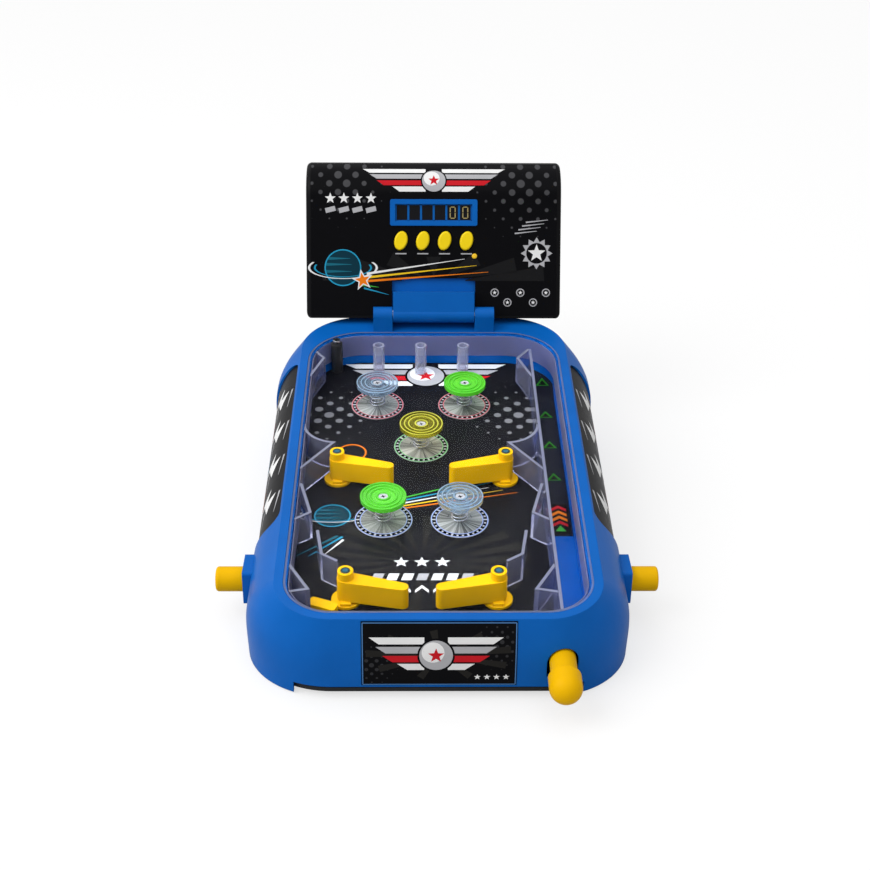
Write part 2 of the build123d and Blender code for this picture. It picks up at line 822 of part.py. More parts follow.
# Clear walls under the cover: ball guides on both sides, and the lane divider
divider_front = play_front + divider_front_gap
hammer_room = bay_end + 2 * fit_gap
with BuildPart() as guide_walls:
    for sign in sides.values():
        with BuildSketch(field_plane.offset(guide_lift)):
            add(guide_plan(sign))
        extrude(amount=field_depth - guide_lift)
    # The divider is lifted over the hammer at its front end
    with BuildSketch(field_plane.offset(hammer_top + 2 * fit_gap)):
        with Locations((divider_x, (divider_front + hammer_room) / 2)):
            Rectangle(divider_thickness, hammer_room - divider_front)
    extrude(amount=field_depth - hammer_top - 2 * fit_gap)
    with BuildSketch(field_plane.offset(fit_gap)):
        with Locations((divider_x, (hammer_room + divider_end) / 2)):
            Rectangle(divider_thickness, divider_end - hammer_room)
    extrude(amount=field_depth - fit_gap)
keep(guide_walls, "guide_walls")

# Clear tubes at the top of the field, and the pins that hold the flippers' tops
with BuildPart() as cover_pins:
    with BuildSketch(field_plane):
        with Locations(*tube_spots):
            Circle(tube_radius)
            Circle(tube_bore, mode=Mode.SUBTRACT)
    extrude(amount=field_depth)
    with BuildSketch(field_plane.offset(flipper_top - pin_socket_depth + fit_gap)):
        with Locations(*[flipper_spot(row, sign) for row in flipper_places for sign in sides.values()]):
            Circle(pin_socket_radius - fit_gap)
    extrude(amount=pin_socket_depth)
keep(cover_pins, "cover_pins")

# Dark post that takes the cover's screw
with BuildPart() as cover_post:
    with BuildSketch(field_plane):
        with Locations(post_spot):
            Circle(tube_radius)
    extrude(amount=field_depth)
    with BuildSketch(field_plane.offset(field_depth - screw_length)):
        with Locations(post_spot):
            Circle(screw_radius + running_gap)
    extrude(amount=screw_length, mode=Mode.SUBTRACT)
keep(cover_post, "cover_post")

with BuildPart() as cover_screw:
    with BuildSketch(field_plane.offset(rim_level)):
        with Locations(post_spot):
            Circle(screw_head_radius)
    extrude(amount=screw_head)
    with BuildSketch(field_plane.offset(rim_level - screw_length)):
        with Locations(post_spot):
            Circle(screw_radius)
    extrude(amount=screw_length)
keep(cover_screw, "cover_screw")

# Bumpers: printed disc, clear post, steel spring and ringed cap
bumper_spots = [bumper_spot(name) for name in bumper_places]
foot_top = decal_thickness + post_foot_height
with BuildPart() as bumper_decals:
    with BuildSketch(field_plane):
        with Locations(*bumper_spots):
            Circle(decal_radius)
    extrude(amount=decal_thickness)
keep(bumper_decals, "bumper_decals")

with BuildPart() as bumper_posts:
    with BuildSketch(field_plane.offset(decal_thickness)):
        with Locations(*bumper_spots):
            Circle(post_foot_radius)
    extrude(amount=post_foot_height)
    with BuildSketch(field_plane.offset(foot_top)):
        with Locations(*bumper_spots):
            Circle(post_radius)
    extrude(amount=cap_level - foot_top)
keep(bumper_posts, "bumper_posts")

cap_rings = [cap_radius - index * cap_ring_pitch for index in range(cap_ring_count)] + [cap_hub_radius]
for name in bumper_places:
    with BuildPart() as bumper_cap:
        with BuildSketch(field_plane.offset(cap_level)):
            with Locations(bumper_spot(name)):
                Circle(cap_radius)
        extrude(amount=cap_thickness)
        with BuildSketch(field_plane.offset(cap_level + cap_thickness)):
            with Locations(bumper_spot(name)):
                for ring in cap_rings:
                    Circle(ring)
                    Circle(ring - cap_ring_width, mode=Mode.SUBTRACT)
        extrude(amount=cap_ring_height)
    keep(bumper_cap, f"bumper_cap_{name}")


def field_vector(x, y, z):
    return field_plane.x_dir * x + field_plane.y_dir * y + field_plane.z_dir * z


def biarc(start, start_way, end, end_way):
    """Two tangent arcs from start to end, with the given directions at both ends."""
    chord = end - start
    both = start_way + end_way
    square = both.dot(both) - 4
    reach = (chord.dot(both) - sqrt(chord.dot(both) ** 2 - square * chord.dot(chord))) / square
    leave = start + start_way * reach
    arrive = end - end_way * reach
    TangentArc(start, (leave + arrive) / 2, tangent=start_way)
    TangentArc((leave + arrive) / 2, end, tangent=arrive - leave)


def spring_stations(spot):
    """Quarter-turn points and directions of a bumper spring, from its foot to its cap."""
    u, v = spot
    up = field_vector(0, 0, 1)
    quarters = 4 * spring_turns
    lead = spring_radius / 2
    low = foot_top + spring_wire + lead
    rise = (cap_level - spring_wire - lead - low) / (quarters - 2)
    slope = rise / (spring_radius * pi / 2)
    stations = [(on_field(u + spring_radius, v, foot_top + spring_wire), up)]
    for quarter in range(1, quarters):
        turn = quarter * pi / 2
        way = field_vector(-sin(turn), cos(turn), slope).normalized()
        place = on_field(
            u + spring_radius * cos(turn), v + spring_radius * sin(turn), low + rise * (quarter - 1)
        )
        stations.append((place, way))
    stations.append((on_field(u + spring_radius, v, cap_level - spring_wire), up))
    return stations


with BuildPart() as bumper_springs:
    for spot in bumper_spots:
        stations = spring_stations(spot)
        first, up = stations[0]
        last = stations[-1][0]
        with BuildLine() as coil:
            Line(first - up * spring_wire, first)
            for (start, start_way), (end, end_way) in zip(stations, stations[1:]):
                biarc(start, start_way, end, end_way)
            Line(last, last + up * spring_wire)
        with BuildSketch(Plane(origin=first - up * spring_wire, z_dir=up)):
            Circle(spring_wire / 2)
        sweep()
keep(bumper_springs, "bumper_springs")

coil_wire = coil.wire()
coil_points = [coil_wire.position_at(step / coil_samples) for step in range(coil_samples + 1)]
step_length = coil_wire.length / coil_samples
near = int(pi * spring_radius / step_length)
least = min(
    (a - b).length for i, a in enumerate(coil_points) for b in coil_points[i + near:]
)
print(f"bumper spring: {spring_turns} turns, least gap to itself {least - spring_wire:.2f} mm")

# Drain block beside the lower left flipper
with BuildPart() as drain_block:
    with BuildSketch(field_plane):
        with Locations(Location((play_centre - drain_share * play_half, drain_place, 0), (0, 0, drain_angle))):
            RectangleRounded(drain_length, drain_width, drain_width / 4)
    extrude(amount=drain_height)
keep(drain_block, "drain_block")

# Flippers with their shafts, cranks and link bars
for row in flipper_places:
    for side_name, side in sides.items():
        spot = flipper_spot(row, side)
        way = radians(flipper_rest_angle if side < 0 else 180 - flipper_rest_angle)
        tip_reach = flipper_reach - flipper_tip_radius
        tip = (spot[0] + tip_reach * cos(way), spot[1] + tip_reach * sin(way))
        with BuildPart() as flipper:
            with BuildSketch(field_plane.offset(flipper_blade_low)):
                with Locations(spot):
                    Circle(boss_radius)
                with Locations(tip):
                    Circle(flipper_tip_radius)
                make_hull()
            extrude(amount=flipper_blade_high - flipper_blade_low)
            with BuildSketch(field_plane.offset(fit_gap)):
                with Locations(spot):
                    Circle(flipper_ring_radius)
            extrude(amount=flipper_top - fit_gap)
            with BuildSketch(field_plane.offset(fit_gap)):
                with Locations(spot):
                    Circle(flipper_flange_radius)
            extrude(amount=flipper_flange)
            # Foot of the blade, down to the flange on the player's side
            with BuildSketch(field_plane.offset(fit_gap)):
                with Locations((spot[0], spot[1] - stop_reach / 2)):
                    Rectangle(stop_width, stop_reach)
            extrude(amount=flipper_blade_low)
            with BuildSketch(field_plane.offset(crank_low)):
                with Locations(spot):
                    Circle(shaft_radius)
            extrude(amount=fit_gap - crank_low)
            with BuildSketch(field_plane.offset(flipper_top - pin_socket_depth)):
                with Locations(spot):
                    Circle(pin_socket_radius)
            extrude(amount=pin_socket_depth, mode=Mode.SUBTRACT)
        keep(flipper, f"{row}_{side_name}_flipper")

        pin = crank_pin_spot(row, side)
        with BuildPart() as crank:
            with BuildSketch(field_plane.offset(crank_low)):
                with Locations(spot):
                    Circle(crank_hub_radius)
                with Locations(pin):
                    Circle(crank_eye_radius)
                make_hull()
                with Locations(spot):
                    Circle(shaft_radius + running_gap, mode=Mode.SUBTRACT)
            extrude(amount=crank_thickness)
            with BuildSketch(field_plane.offset(link_low - fit_gap)):
                with Locations(pin):
                    Circle(crank_pin_radius)
            extrude(amount=crank_low - link_low + fit_gap)
        keep(crank, f"{row}_{side_name}_crank")

for side_name, side in sides.items():
    low_pin = crank_pin_spot("lower", side)
    high_pin = crank_pin_spot("upper", side)
    lean = degrees(atan2(high_pin[1] - low_pin[1], high_pin[0] - low_pin[0]))
    middle = ((low_pin[0] + high_pin[0]) / 2, (low_pin[1] + high_pin[1]) / 2)
    span = sqrt((high_pin[0] - low_pin[0]) ** 2 + (high_pin[1] - low_pin[1]) ** 2)
    with BuildPart() as link_bar:
        with BuildSketch(field_plane.offset(link_low)):
            with Locations(Location((middle[0], middle[1], 0), (0, 0, lean))):
                Rectangle(span, link_width)
            with Locations(low_pin, high_pin):
                Circle(link_eye_radius)
            with Locations(low_pin):
                Circle(crank_pin_radius + running_gap, mode=Mode.SUBTRACT)
            with Locations(high_pin):
                Circle(crank_pin_radius + fit_gap, mode=Mode.SUBTRACT)
        extrude(amount=link_thickness)
    keep(link_bar, f"{side_name}_link_bar")

    # Side button, whose stem ends just short of the link bar
    slant = tan(radians(lean - 90))
    bar_x = low_pin[0] - (button_place - low_pin[1]) * slant
    bar_half = link_width / 2 / cos(radians(lean - 90))
    stem_end = side * bar_x + bar_half + abs(slant) * button_stem_radius + fit_gap
    flange_face = boss_root - fit_gap
    with BuildPart() as side_button:
        with BuildSketch(Plane.YZ.offset(side * flange_face)):
            with Locations((button_y, button_z)):
                Circle(button_radius)
        extrude(amount=side * (body_half_width + button_reach - flange_face))
        fillet(faces().sort_by(Axis((0, 0, 0), (side, 0, 0)))[-1].edges(), button_round)
        with BuildSketch(Plane.YZ.offset(side * (flange_face - button_flange))):
            with Locations((button_y, button_z)):
                Circle(button_flange_radius)
        extrude(amount=side * button_flange)
        with BuildSketch(Plane.YZ.offset(side * stem_end)):
            with Locations((button_y, button_z)):
                Circle(button_stem_radius)
        extrude(amount=side * (flange_face - stem_end))
    keep(side_button, f"{side_name}_button")

    spring_from = guide_rib_place + guide_rib / 2 + running_gap
    spring_to = flange_face - button_flange - running_gap
    with BuildPart() as button_spring:
        with BuildSketch(Plane.YZ.offset(side * spring_from)):
            with Locations((button_y, button_z)):
                Circle(button_stem_radius + 2 * fit_gap + button_spring_wall)
                Circle(button_stem_radius + 2 * fit_gap, mode=Mode.SUBTRACT)
        extrude(amount=side * (spring_to - spring_from))
    keep(button_spring, f"{side_name}_button_spring")

# Plunger: domed knob on its stem, rod with hammer, spring
dome_base = knob_tip - knob_radius
with BuildPart() as plunger_knob:
    with BuildSketch(plunger_plane.offset(stem_root)):
        Circle(stem_radius)
    extrude(amount=dome_base - stem_root)
    with BuildSketch(plunger_plane.offset(dome_base - knob_length)):
        Circle(knob_radius)
    extrude(amount=knob_length)
    with Locations(plunger_plane.offset(dome_base).location):
        Sphere(knob_radius)
keep(plunger_knob, "plunger_knob")

with BuildPart() as plunger_rod:
    with BuildSketch(plunger_plane.offset(hammer_back)):
        Circle(rod_radius)
    extrude(amount=stem_root - hammer_back)
    with BuildSketch(field_plane.offset(-lane_depth + fit_gap)):
        with Locations(((hammer_left + hammer_right) / 2, -(hammer_face + hammer_back) / 2)):
            Rectangle(hammer_right - hammer_left, hammer_thickness)
    extrude(amount=hammer_top + lane_depth - fit_gap)
keep(plunger_rod, "plunger_rod")

with BuildPart() as plunger_spring:
    with BuildSketch(plunger_plane.offset(hammer_back + running_gap)):
        Circle(rod_radius + fit_gap + plunger_spring_wall)
        Circle(rod_radius + fit_gap, mode=Mode.SUBTRACT)
    extrude(amount=bracket_back - hammer_back - 2 * running_gap)
keep(plunger_spring, "plunger_spring")

with BuildPart() as steel_ball:
    with Locations(on_field(lane_x, ball_place, ball_radius - lane_depth + running_gap)):
        Sphere(ball_radius)
keep(steel_ball, "steel_ball")


def score_profile(inset):
    """Side view of the score box: flat face, rolled top, rounded crown, straight back."""
    face = face_drop + inset
    back = face_drop + score_depth - inset
    # The underside is level with the table
    climb = tan(radians(score_tilt))
    low = face_low + inset / cos(radians(score_tilt))
    with BuildSketch() as profile:
        with BuildLine():
            flat = Line((face, low + (face - face_drop) * climb), (face, face_high))
            roll = JernArc(flat @ 1, (0, 1), roll_radius - inset, -roll_turn)
            crown = JernArc(roll @ 1, roll % 1, crown_radius - inset, roll_turn - 180)
            rear = Line(crown @ 1, (back, low + (back - face_drop) * climb))
            Line(rear @ 1, flat @ 0)
        make_face()
    return profile.sketch


def score_shell():
    """Hollow score box, before it is parted into its two shells."""
    with BuildPart() as shell:
        with BuildSketch(score_side):
            add(score_profile(0))
        extrude(amount=score_half_width, both=True)
        ends = faces().filter_by(Axis.X).edges()
        fillet(ends, score_edge_round)
        with BuildSketch(score_side):
            add(score_profile(score_wall))
        extrude(amount=score_half_width - score_wall, both=True, mode=Mode.SUBTRACT)
    return shell.part


def face_box(width, low, high, deep, shallow):
    """Block square to the score box's face, between two depths behind the hinge pin."""
    with BuildPart() as block:
        with BuildSketch(score_face.offset(-deep)):
            with Locations((0, (low + high) / 2)):
                Rectangle(width, high - low)
        extrude(amount=deep - shallow)
    return block.part


key_spots = [((index - (key_count - 1) / 2) * key_pitch, key_level) for index in range(key_count)]
inner_face = face_drop + score_wall
back_face = face_drop + score_depth - score_wall
split_plane = Plane(origin=score_side.from_local_coords((score_split, 0, 0)), z_dir=score_side.x_dir)
score_posts = [(side * score_post_x, level) for side in sides.values() for level in (score_post_low, score_post_high)]

with BuildPart() as score_front_shell:
    add(score_shell())
    split(bisect_by=split_plane, keep=Keep.BOTTOM)
    notch = face_box(2 * notch_half_width, face_low - score_depth, notch_top, score_split, face_drop - lug_radius)
    add(notch, mode=Mode.SUBTRACT)
    display_hole = face_box(
        window_width + 2 * fit_gap,
        bezel_level - window_height / 2 - fit_gap,
        bezel_level + window_height / 2 + fit_gap,
        inner_face,
        face_drop,
    )
    add(display_hole, mode=Mode.SUBTRACT)
    with BuildSketch(score_face.offset(-inner_face)):
        with Locations(*[Location((x, q, 0), (0, 0, key_slant)) for x, q in key_spots]):
            Ellipse(key_width / 2 + fit_gap, key_height / 2 + fit_gap)
        with Locations((lamp_x, lamp_level)):
            Circle(lamp_radius + running_gap)
    extrude(amount=score_wall, mode=Mode.SUBTRACT)
    # Posts for the screws, and pegs that hold the circuit board
    with BuildSketch(score_face.offset(-score_split)):
        with Locations(*score_posts):
            Circle(score_post_radius)
    extrude(amount=score_split - inner_face)
    with BuildSketch(score_face.offset(-score_split)):
        with Locations(*score_posts):
            Circle(screw_radius + running_gap)
    extrude(amount=screw_length, mode=Mode.SUBTRACT)
    with BuildSketch(score_face.offset(-board_depth)):
        with Locations((0, (circuit_low + circuit_high) / 2)):
            with GridLocations(circuit_width - 4 * peg_radius, circuit_high - circuit_low - 4 * peg_radius, 2, 2):
                Circle(peg_radius)
    extrude(amount=board_depth - inner_face)
keep(score_front_shell, "score_front_shell")

with BuildPart() as score_rear_shell:
    add(score_shell())
    split(bisect_by=split_plane, keep=Keep.TOP)
    with BuildSketch(score_face.offset(-back_face)):
        with Locations(*score_posts):
            Circle(score_post_radius)
    extrude(amount=back_face - score_split)
    with BuildSketch(score_face.offset(-back_face - score_wall)):
        with Locations(*score_posts):
            Circle(screw_radius + running_gap)
    extrude(amount=back_face + score_wall - score_split, mode=Mode.SUBTRACT)
    with BuildSketch(score_face.offset(-back_face - score_wall)):
        with Locations((0, speaker_level)):
            with GridLocations(grille_pitch, grille_pitch, grille_count, grille_count):
                Circle(grille_radius)
    extrude(amount=score_wall, mode=Mode.SUBTRACT)
keep(score_rear_shell, "score_rear_shell")

with BuildPart() as score_screws:
    with BuildSketch(score_face.offset(-back_face - score_wall - screw_head)):
        with Locations(*score_posts):
            Circle(screw_head_radius)
    extrude(amount=screw_head)
    with BuildSketch(score_face.offset(-back_face - score_wall)):
        with Locations(*score_posts):
            Circle(screw_radius)
    extrude(amount=back_face + score_wall - score_split + screw_length - running_gap)
keep(score_screws, "score_screws")

# Printed sheet on the score box's face and rolled top
sheet_front = face_drop - sheet_thickness
with BuildPart() as score_sheet:
    with BuildSketch(score_side):
        with BuildLine():
            outer = Line((sheet_front, face_low + sheet_margin), (sheet_front, face_high))
            outer_roll = JernArc(outer @ 1, (0, 1), roll_radius + sheet_thickness, -roll_turn)
            inner = Line((face_drop, face_low + sheet_margin), (face_drop, face_high))
            inner_roll = JernArc(inner @ 1, (0, 1), roll_radius, -roll_turn)
            Line(outer @ 0, inner @ 0)
            Line(outer_roll @ 1, inner_roll @ 1)
        make_face()
    extrude(amount=score_half_width - score_edge_round, both=True)
    add(face_box(2 * notch_half_width, face_low, notch_top, face_drop, sheet_front), mode=Mode.SUBTRACT)
    bezel_hole = face_box(
        bezel_width + running_gap,
        bezel_level - (bezel_height + running_gap) / 2,
        bezel_level + (bezel_height + running_gap) / 2,
        face_drop,
        sheet_front,
    )
    add(bezel_hole, mode=Mode.SUBTRACT)
    with BuildSketch(score_face.offset(-face_drop)):
        with Locations(*[Location((x, q, 0), (0, 0, key_slant)) for x, q in key_spots]):
            Ellipse(key_width / 2 + fit_gap, key_height / 2 + fit_gap)
        with Locations((lamp_x, lamp_level)):
            Circle(lamp_radius + running_gap)
    extrude(amount=sheet_thickness, mode=Mode.SUBTRACT)
keep(score_sheet, "score_sheet")

with BuildPart() as display_bezel:
    with BuildSketch(score_face.offset(-face_drop)):
        with Locations((0, bezel_level)):
            RectangleRounded(bezel_width, bezel_height, bezel_proud)
            Rectangle(window_width, window_height, mode=Mode.SUBTRACT)
    extrude(amount=bezel_proud + sheet_thickness)
keep(display_bezel, "display_bezel")

with BuildPart() as display_module:
    window_low = bezel_level - window_height / 2
    add(face_box(window_width, window_low, window_low + window_height, board_depth, face_drop))
keep(display_module, "display_module")

with BuildPart() as circuit_board:
    add(face_box(circuit_width, circuit_low, circuit_high, board_depth + circuit_thickness, board_depth))
keep(circuit_board, "circuit_board")

with BuildPart() as indicator_lamp:
    with BuildSketch(score_face.offset(-board_depth)):
        with Locations((lamp_x, lamp_level)):
            Circle(lamp_radius)
    extrude(amount=board_depth - face_drop + sheet_thickness + lamp_proud)
    fillet(faces().sort_by(Axis((0, 0, 0), score_face.z_dir))[-1].edges(), lamp_proud)
keep(indicator_lamp, "indicator_lamp")

key_names = ("first", "second", "third", "fourth")
for key_name, (x, q) in zip(key_names, key_spots):
    with BuildPart() as score_key:
        with BuildSketch(score_face.offset(-board_depth + key_travel + 2 * fit_gap)):
            with Locations(Location((x, q, 0), (0, 0, key_slant))):
                Ellipse(key_width / 2, key_height / 2)
        extrude(amount=board_depth - key_travel - 2 * fit_gap - face_drop + key_proud)
        fillet(faces().sort_by(Axis((0, 0, 0), score_face.z_dir))[-1].edges(), key_flange)
        with BuildSketch(score_face.offset(-inner_face - fit_gap - key_flange)):
            with Locations(Location((x, q, 0), (0, 0, key_slant))):
                Ellipse(key_width / 2 + key_flange, key_height / 2 + key_flange)
        extrude(amount=key_flange)
    keep(score_key, f"{key_name}_score_button")

with BuildPart() as speaker:
    with BuildSketch(score_face.offset(-back_face)):
        with Locations((0, speaker_level)):
            Circle(speaker_radius)
    extrude(amount=speaker_depth / 3)
    with BuildSketch(score_face.offset(-back_face + speaker_depth / 3)):
        with Locations((0, speaker_level)):
            Circle(speaker_radius / 2)
    extrude(amount=speaker_depth * 2 / 3)
keep(speaker, "speaker")

# Neck between the lugs, fixed behind the notch in the score box's face
with BuildPart() as hinge_neck:
    with BuildSketch(score_side):
        Circle(neck_radius)
        with Locations(((neck_block_front + inner_face) / 2, neck_block_top / 2)):
            Rectangle(inner_face - neck_block_front, neck_block_top)
    extrude(amount=neck_half_width, both=True)
    plate_low = face_low + 3 * sheet_margin
    plate_top = notch_top + neck_plate_thickness
    plate_back = inner_face + neck_plate_thickness
    add(face_box(2 * neck_plate_half_width, plate_low, plate_top, plate_back, inner_face))
    with BuildSketch(score_side):
        Circle(hinge_pin_radius + running_gap)
    extrude(amount=neck_half_width, both=True, mode=Mode.SUBTRACT)
keep(hinge_neck, "hinge_neck")

with BuildPart() as hinge_pin:
    with BuildSketch(Plane.YZ):
        with Locations((hinge_y, hinge_height)):
            Circle(hinge_pin_radius)
    extrude(amount=lug_outer, both=True)
keep(hinge_pin, "hinge_pin")
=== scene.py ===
import bpy
import bmesh
import json
import math
import random
from mathutils import Matrix, Vector
from mathutils.bvhtree import BVHTree


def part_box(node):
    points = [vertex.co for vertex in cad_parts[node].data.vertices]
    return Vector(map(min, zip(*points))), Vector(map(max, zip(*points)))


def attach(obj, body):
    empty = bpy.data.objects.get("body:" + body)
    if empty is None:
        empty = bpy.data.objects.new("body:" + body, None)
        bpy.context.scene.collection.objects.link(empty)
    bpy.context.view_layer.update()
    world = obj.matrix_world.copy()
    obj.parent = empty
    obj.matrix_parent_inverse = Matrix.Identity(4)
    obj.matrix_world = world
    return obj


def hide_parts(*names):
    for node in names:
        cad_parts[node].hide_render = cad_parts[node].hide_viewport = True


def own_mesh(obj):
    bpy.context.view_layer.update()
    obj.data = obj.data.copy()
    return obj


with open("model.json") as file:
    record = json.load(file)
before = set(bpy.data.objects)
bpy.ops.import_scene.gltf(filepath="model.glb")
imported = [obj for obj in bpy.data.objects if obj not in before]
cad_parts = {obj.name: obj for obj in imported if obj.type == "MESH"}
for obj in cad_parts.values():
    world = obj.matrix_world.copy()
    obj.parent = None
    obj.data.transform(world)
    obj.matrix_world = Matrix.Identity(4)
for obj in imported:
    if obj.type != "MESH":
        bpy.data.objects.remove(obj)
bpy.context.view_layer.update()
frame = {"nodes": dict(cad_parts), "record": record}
parts = frame["nodes"]
joints = {joint["name"]: joint for joint in frame["record"]["behaviour"]["joints"]}
random.seed(7)
across = Vector((1, 0, 0))

# The tilted field, from the flipper shafts: u to the right, v up the field, w out of it, in mm
leftShaft = joints["lower_left_flipper_turn"]
rightShaft = joints["lower_right_flipper_turn"]
fieldOrigin = Vector((0, *leftShaft["pos_m"][1:]))
fieldUp = Vector(leftShaft["axis"]).normalized()
fieldAlong = fieldUp.cross(across)
fieldTilt = math.atan2(fieldAlong.z, fieldAlong.y)
fieldMiddle = 500 * (leftShaft["pos_m"][0] + rightShaft["pos_m"][0])

# The score box's face: x to the right, q up the face, out towards the player, in mm
scoreHinge = Vector(joints["score_box_fold"]["pos_m"])
scoreIn = Vector(joints["first_score_button_press"]["axis"]).normalized()
scoreUp = across.cross(scoreIn)
scoreLean = math.atan2(scoreUp.z, scoreUp.y)


def onField(u, v, w):
    return fieldOrigin + (across * u + fieldAlong * v + fieldUp * w) / 1000


def onScore(x, q, out):
    return scoreHinge + (across * x + scoreUp * q - scoreIn * out) / 1000


# Node helpers
def addNode(tree, kind, sockets=None, **settings):
    node = tree.nodes.new(kind)
    for key, value in settings.items():
        setattr(node, key, value)
    for key, value in (sockets or {}).items():
        if isinstance(value, bpy.types.NodeSocket):
            tree.links.new(value, node.inputs[key])
        else:
            node.inputs[key].default_value = value
    return node


def calculate(tree, operation, first, second, clamp=False):
    node = addNode(tree, "ShaderNodeMath", {0: first, 1: second}, operation=operation, use_clamp=clamp)
    return node.outputs[0]


def calculateVector(tree, operation, sockets):
    return addNode(tree, "ShaderNodeVectorMath", sockets, operation=operation).outputs


def stretch(tree, value, low, high, newLow, newHigh):
    sockets = {0: value, 1: low, 2: high, 3: newLow, 4: newHigh}
    return addNode(tree, "ShaderNodeMapRange", sockets).outputs[0]


def startGroup(name, inputs, outputs):
    tree = bpy.data.node_groups.new(name, "ShaderNodeTree")
    for label, (kind, value) in inputs.items():
        socket = tree.interface.new_socket(label, in_out="INPUT", socket_type="NodeSocket" + kind)
        socket.default_value = value
    for label, kind in outputs.items():
        tree.interface.new_socket(label, in_out="OUTPUT", socket_type="NodeSocket" + kind)
    return tree, tree.nodes.new("NodeGroupInput").outputs, tree.nodes.new("NodeGroupOutput").inputs


def placeGroup(tree, group, sockets):
    return addNode(tree, "ShaderNodeGroup", sockets, node_tree=group).outputs


# Fine moulding texture of plastic: shade, gloss and a rounded edge
skinLook = {
    "fineDetail": 3.0, "broadScale": 34.0, "broadDetail": 4.0, "middle": 0.5, "patchy": (0.3, 0.7),
    "shades": (0.94, 1.04), "bump": 0.0004, "roundSamples": 4,
}
mouldedSkin, given, result = startGroup(
    "mouldedSkin",
    {
        "Grain": ("Float", 900.0), "Gloss": ("Float", 0.25), "Spread": ("Float", 0.12),
        "Depth": ("Float", 0.15), "Round": ("Float", 0.0006),
    },
    {"Shade": "Float", "Rough": "Float", "Normal": "Vector"},
)
place = addNode(mouldedSkin, "ShaderNodeTexCoord").outputs["Object"]
fineGrain = addNode(
    mouldedSkin, "ShaderNodeTexNoise",
    {"Vector": place, "Scale": given["Grain"], "Detail": skinLook["fineDetail"]},
).outputs[0]
broadGrain = addNode(
    mouldedSkin, "ShaderNodeTexNoise",
    {"Vector": place, "Scale": skinLook["broadScale"], "Detail": skinLook["broadDetail"]},
).outputs[0]
offMiddle = calculate(mouldedSkin, "SUBTRACT", broadGrain, skinLook["middle"])
smears = calculate(mouldedSkin, "MULTIPLY", offMiddle, given["Spread"])
mouldedSkin.links.new(calculate(mouldedSkin, "ADD", given["Gloss"], smears), result["Rough"])
shade = stretch(mouldedSkin, broadGrain, *skinLook["patchy"], *skinLook["shades"])
mouldedSkin.links.new(shade, result["Shade"])
rounded = addNode(
    mouldedSkin, "ShaderNodeBevel", {"Radius": given["Round"]}, samples=skinLook["roundSamples"]
).outputs[0]
skinBump = addNode(
    mouldedSkin, "ShaderNodeBump",
    {"Strength": given["Depth"], "Distance": skinLook["bump"], "Height": fineGrain, "Normal": rounded},
).outputs[0]
mouldedSkin.links.new(skinBump, result["Normal"])

# Cells of a turned square screen, in mm: the middle of the cell, and how far from it a point lies
dotCells, given, result = startGroup(
    "dotCells",
    {"Point": ("Vector", (0, 0, 0)), "Pitch": ("Float", 5.0)},
    {"Middle": "Vector", "Reach": "Float"},
)
turned = addNode(
    dotCells, "ShaderNodeVectorRotate", {"Vector": given["Point"], "Angle": math.pi / 4},
    rotation_type="Z_AXIS",
).outputs[0]
rate = calculate(dotCells, "DIVIDE", 1.0, given["Pitch"])
scaled = calculateVector(dotCells, "SCALE", {0: turned, "Scale": rate})[0]
corner = calculateVector(dotCells, "FLOOR", {0: scaled})[0]
middle = calculateVector(dotCells, "ADD", {0: corner, 1: (0.5, 0.5, 0.5)})[0]
away = calculateVector(dotCells, "SUBTRACT", {0: scaled, 1: middle})[0]
flat = calculateVector(dotCells, "MULTIPLY", {0: away, 1: (1, 1, 0)})[0]
dotCells.links.new(calculateVector(dotCells, "LENGTH", {0: flat})["Value"], result["Reach"])
spread = calculateVector(dotCells, "SCALE", {0: middle, "Scale": given["Pitch"]})[0]
unturned = addNode(
    dotCells, "ShaderNodeVectorRotate", {"Vector": spread, "Angle": -math.pi / 4}, rotation_type="Z_AXIS"
).outputs[0]
dotCells.links.new(unturned, result["Middle"])

# Soft round patch that fades out from its middle, in mm
softPatch, given, result = startGroup(
    "softPatch",
    {"Point": ("Vector", (0, 0, 0)), "Middle": ("Vector", (0, 0, 0)), "Radius": ("Float", 30.0)},
    {"Mask": "Float"},
)
away = calculateVector(softPatch, "SUBTRACT", {0: given["Point"], 1: given["Middle"]})[0]
flat = calculateVector(softPatch, "MULTIPLY", {0: away, 1: (1, 1, 0)})[0]
reach = calculateVector(softPatch, "LENGTH", {0: flat})["Value"]
share = calculate(softPatch, "DIVIDE", reach, given["Radius"])
softPatch.links.new(calculate(softPatch, "SUBTRACT", 1.0, share, clamp=True), result["Mask"])


# Materials
def startMaterial(name):
    material = bpy.data.materials.new(name)
    material.use_nodes = True
    return material, material.node_tree, material.node_tree.nodes["Principled BSDF"]


def dressShader(tree, shader, colour, skin):
    tinted = calculateVector(tree, "SCALE", {0: colour, "Scale": skin["Shade"]})[0]
    tree.links.new(tinted, shader.inputs["Base Color"])
    tree.links.new(skin["Rough"], shader.inputs["Roughness"])
    tree.links.new(skin["Normal"], shader.inputs["Normal"])


plasticSkin = {"Grain": 900.0, "Round": 0.0006}
clearSkin = {"Grain": 260.0, "Spread": 0.05, "Depth": 0.02, "Round": 0.0004}
printSkin = {"Grain": 1500.0, "Gloss": 0.22, "Spread": 0.1, "Depth": 0.05, "Round": 0.0002}
inkSkin = {"Grain": 1500.0, "Gloss": 0.25, "Spread": 0.1, "Depth": 0.05, "Round": 0.0}
printLook = {"dotSizes": (-0.08, 0.36), "dotEdge": (-0.02, 0.04), "shine": 0.04}
inkShine = 0.05


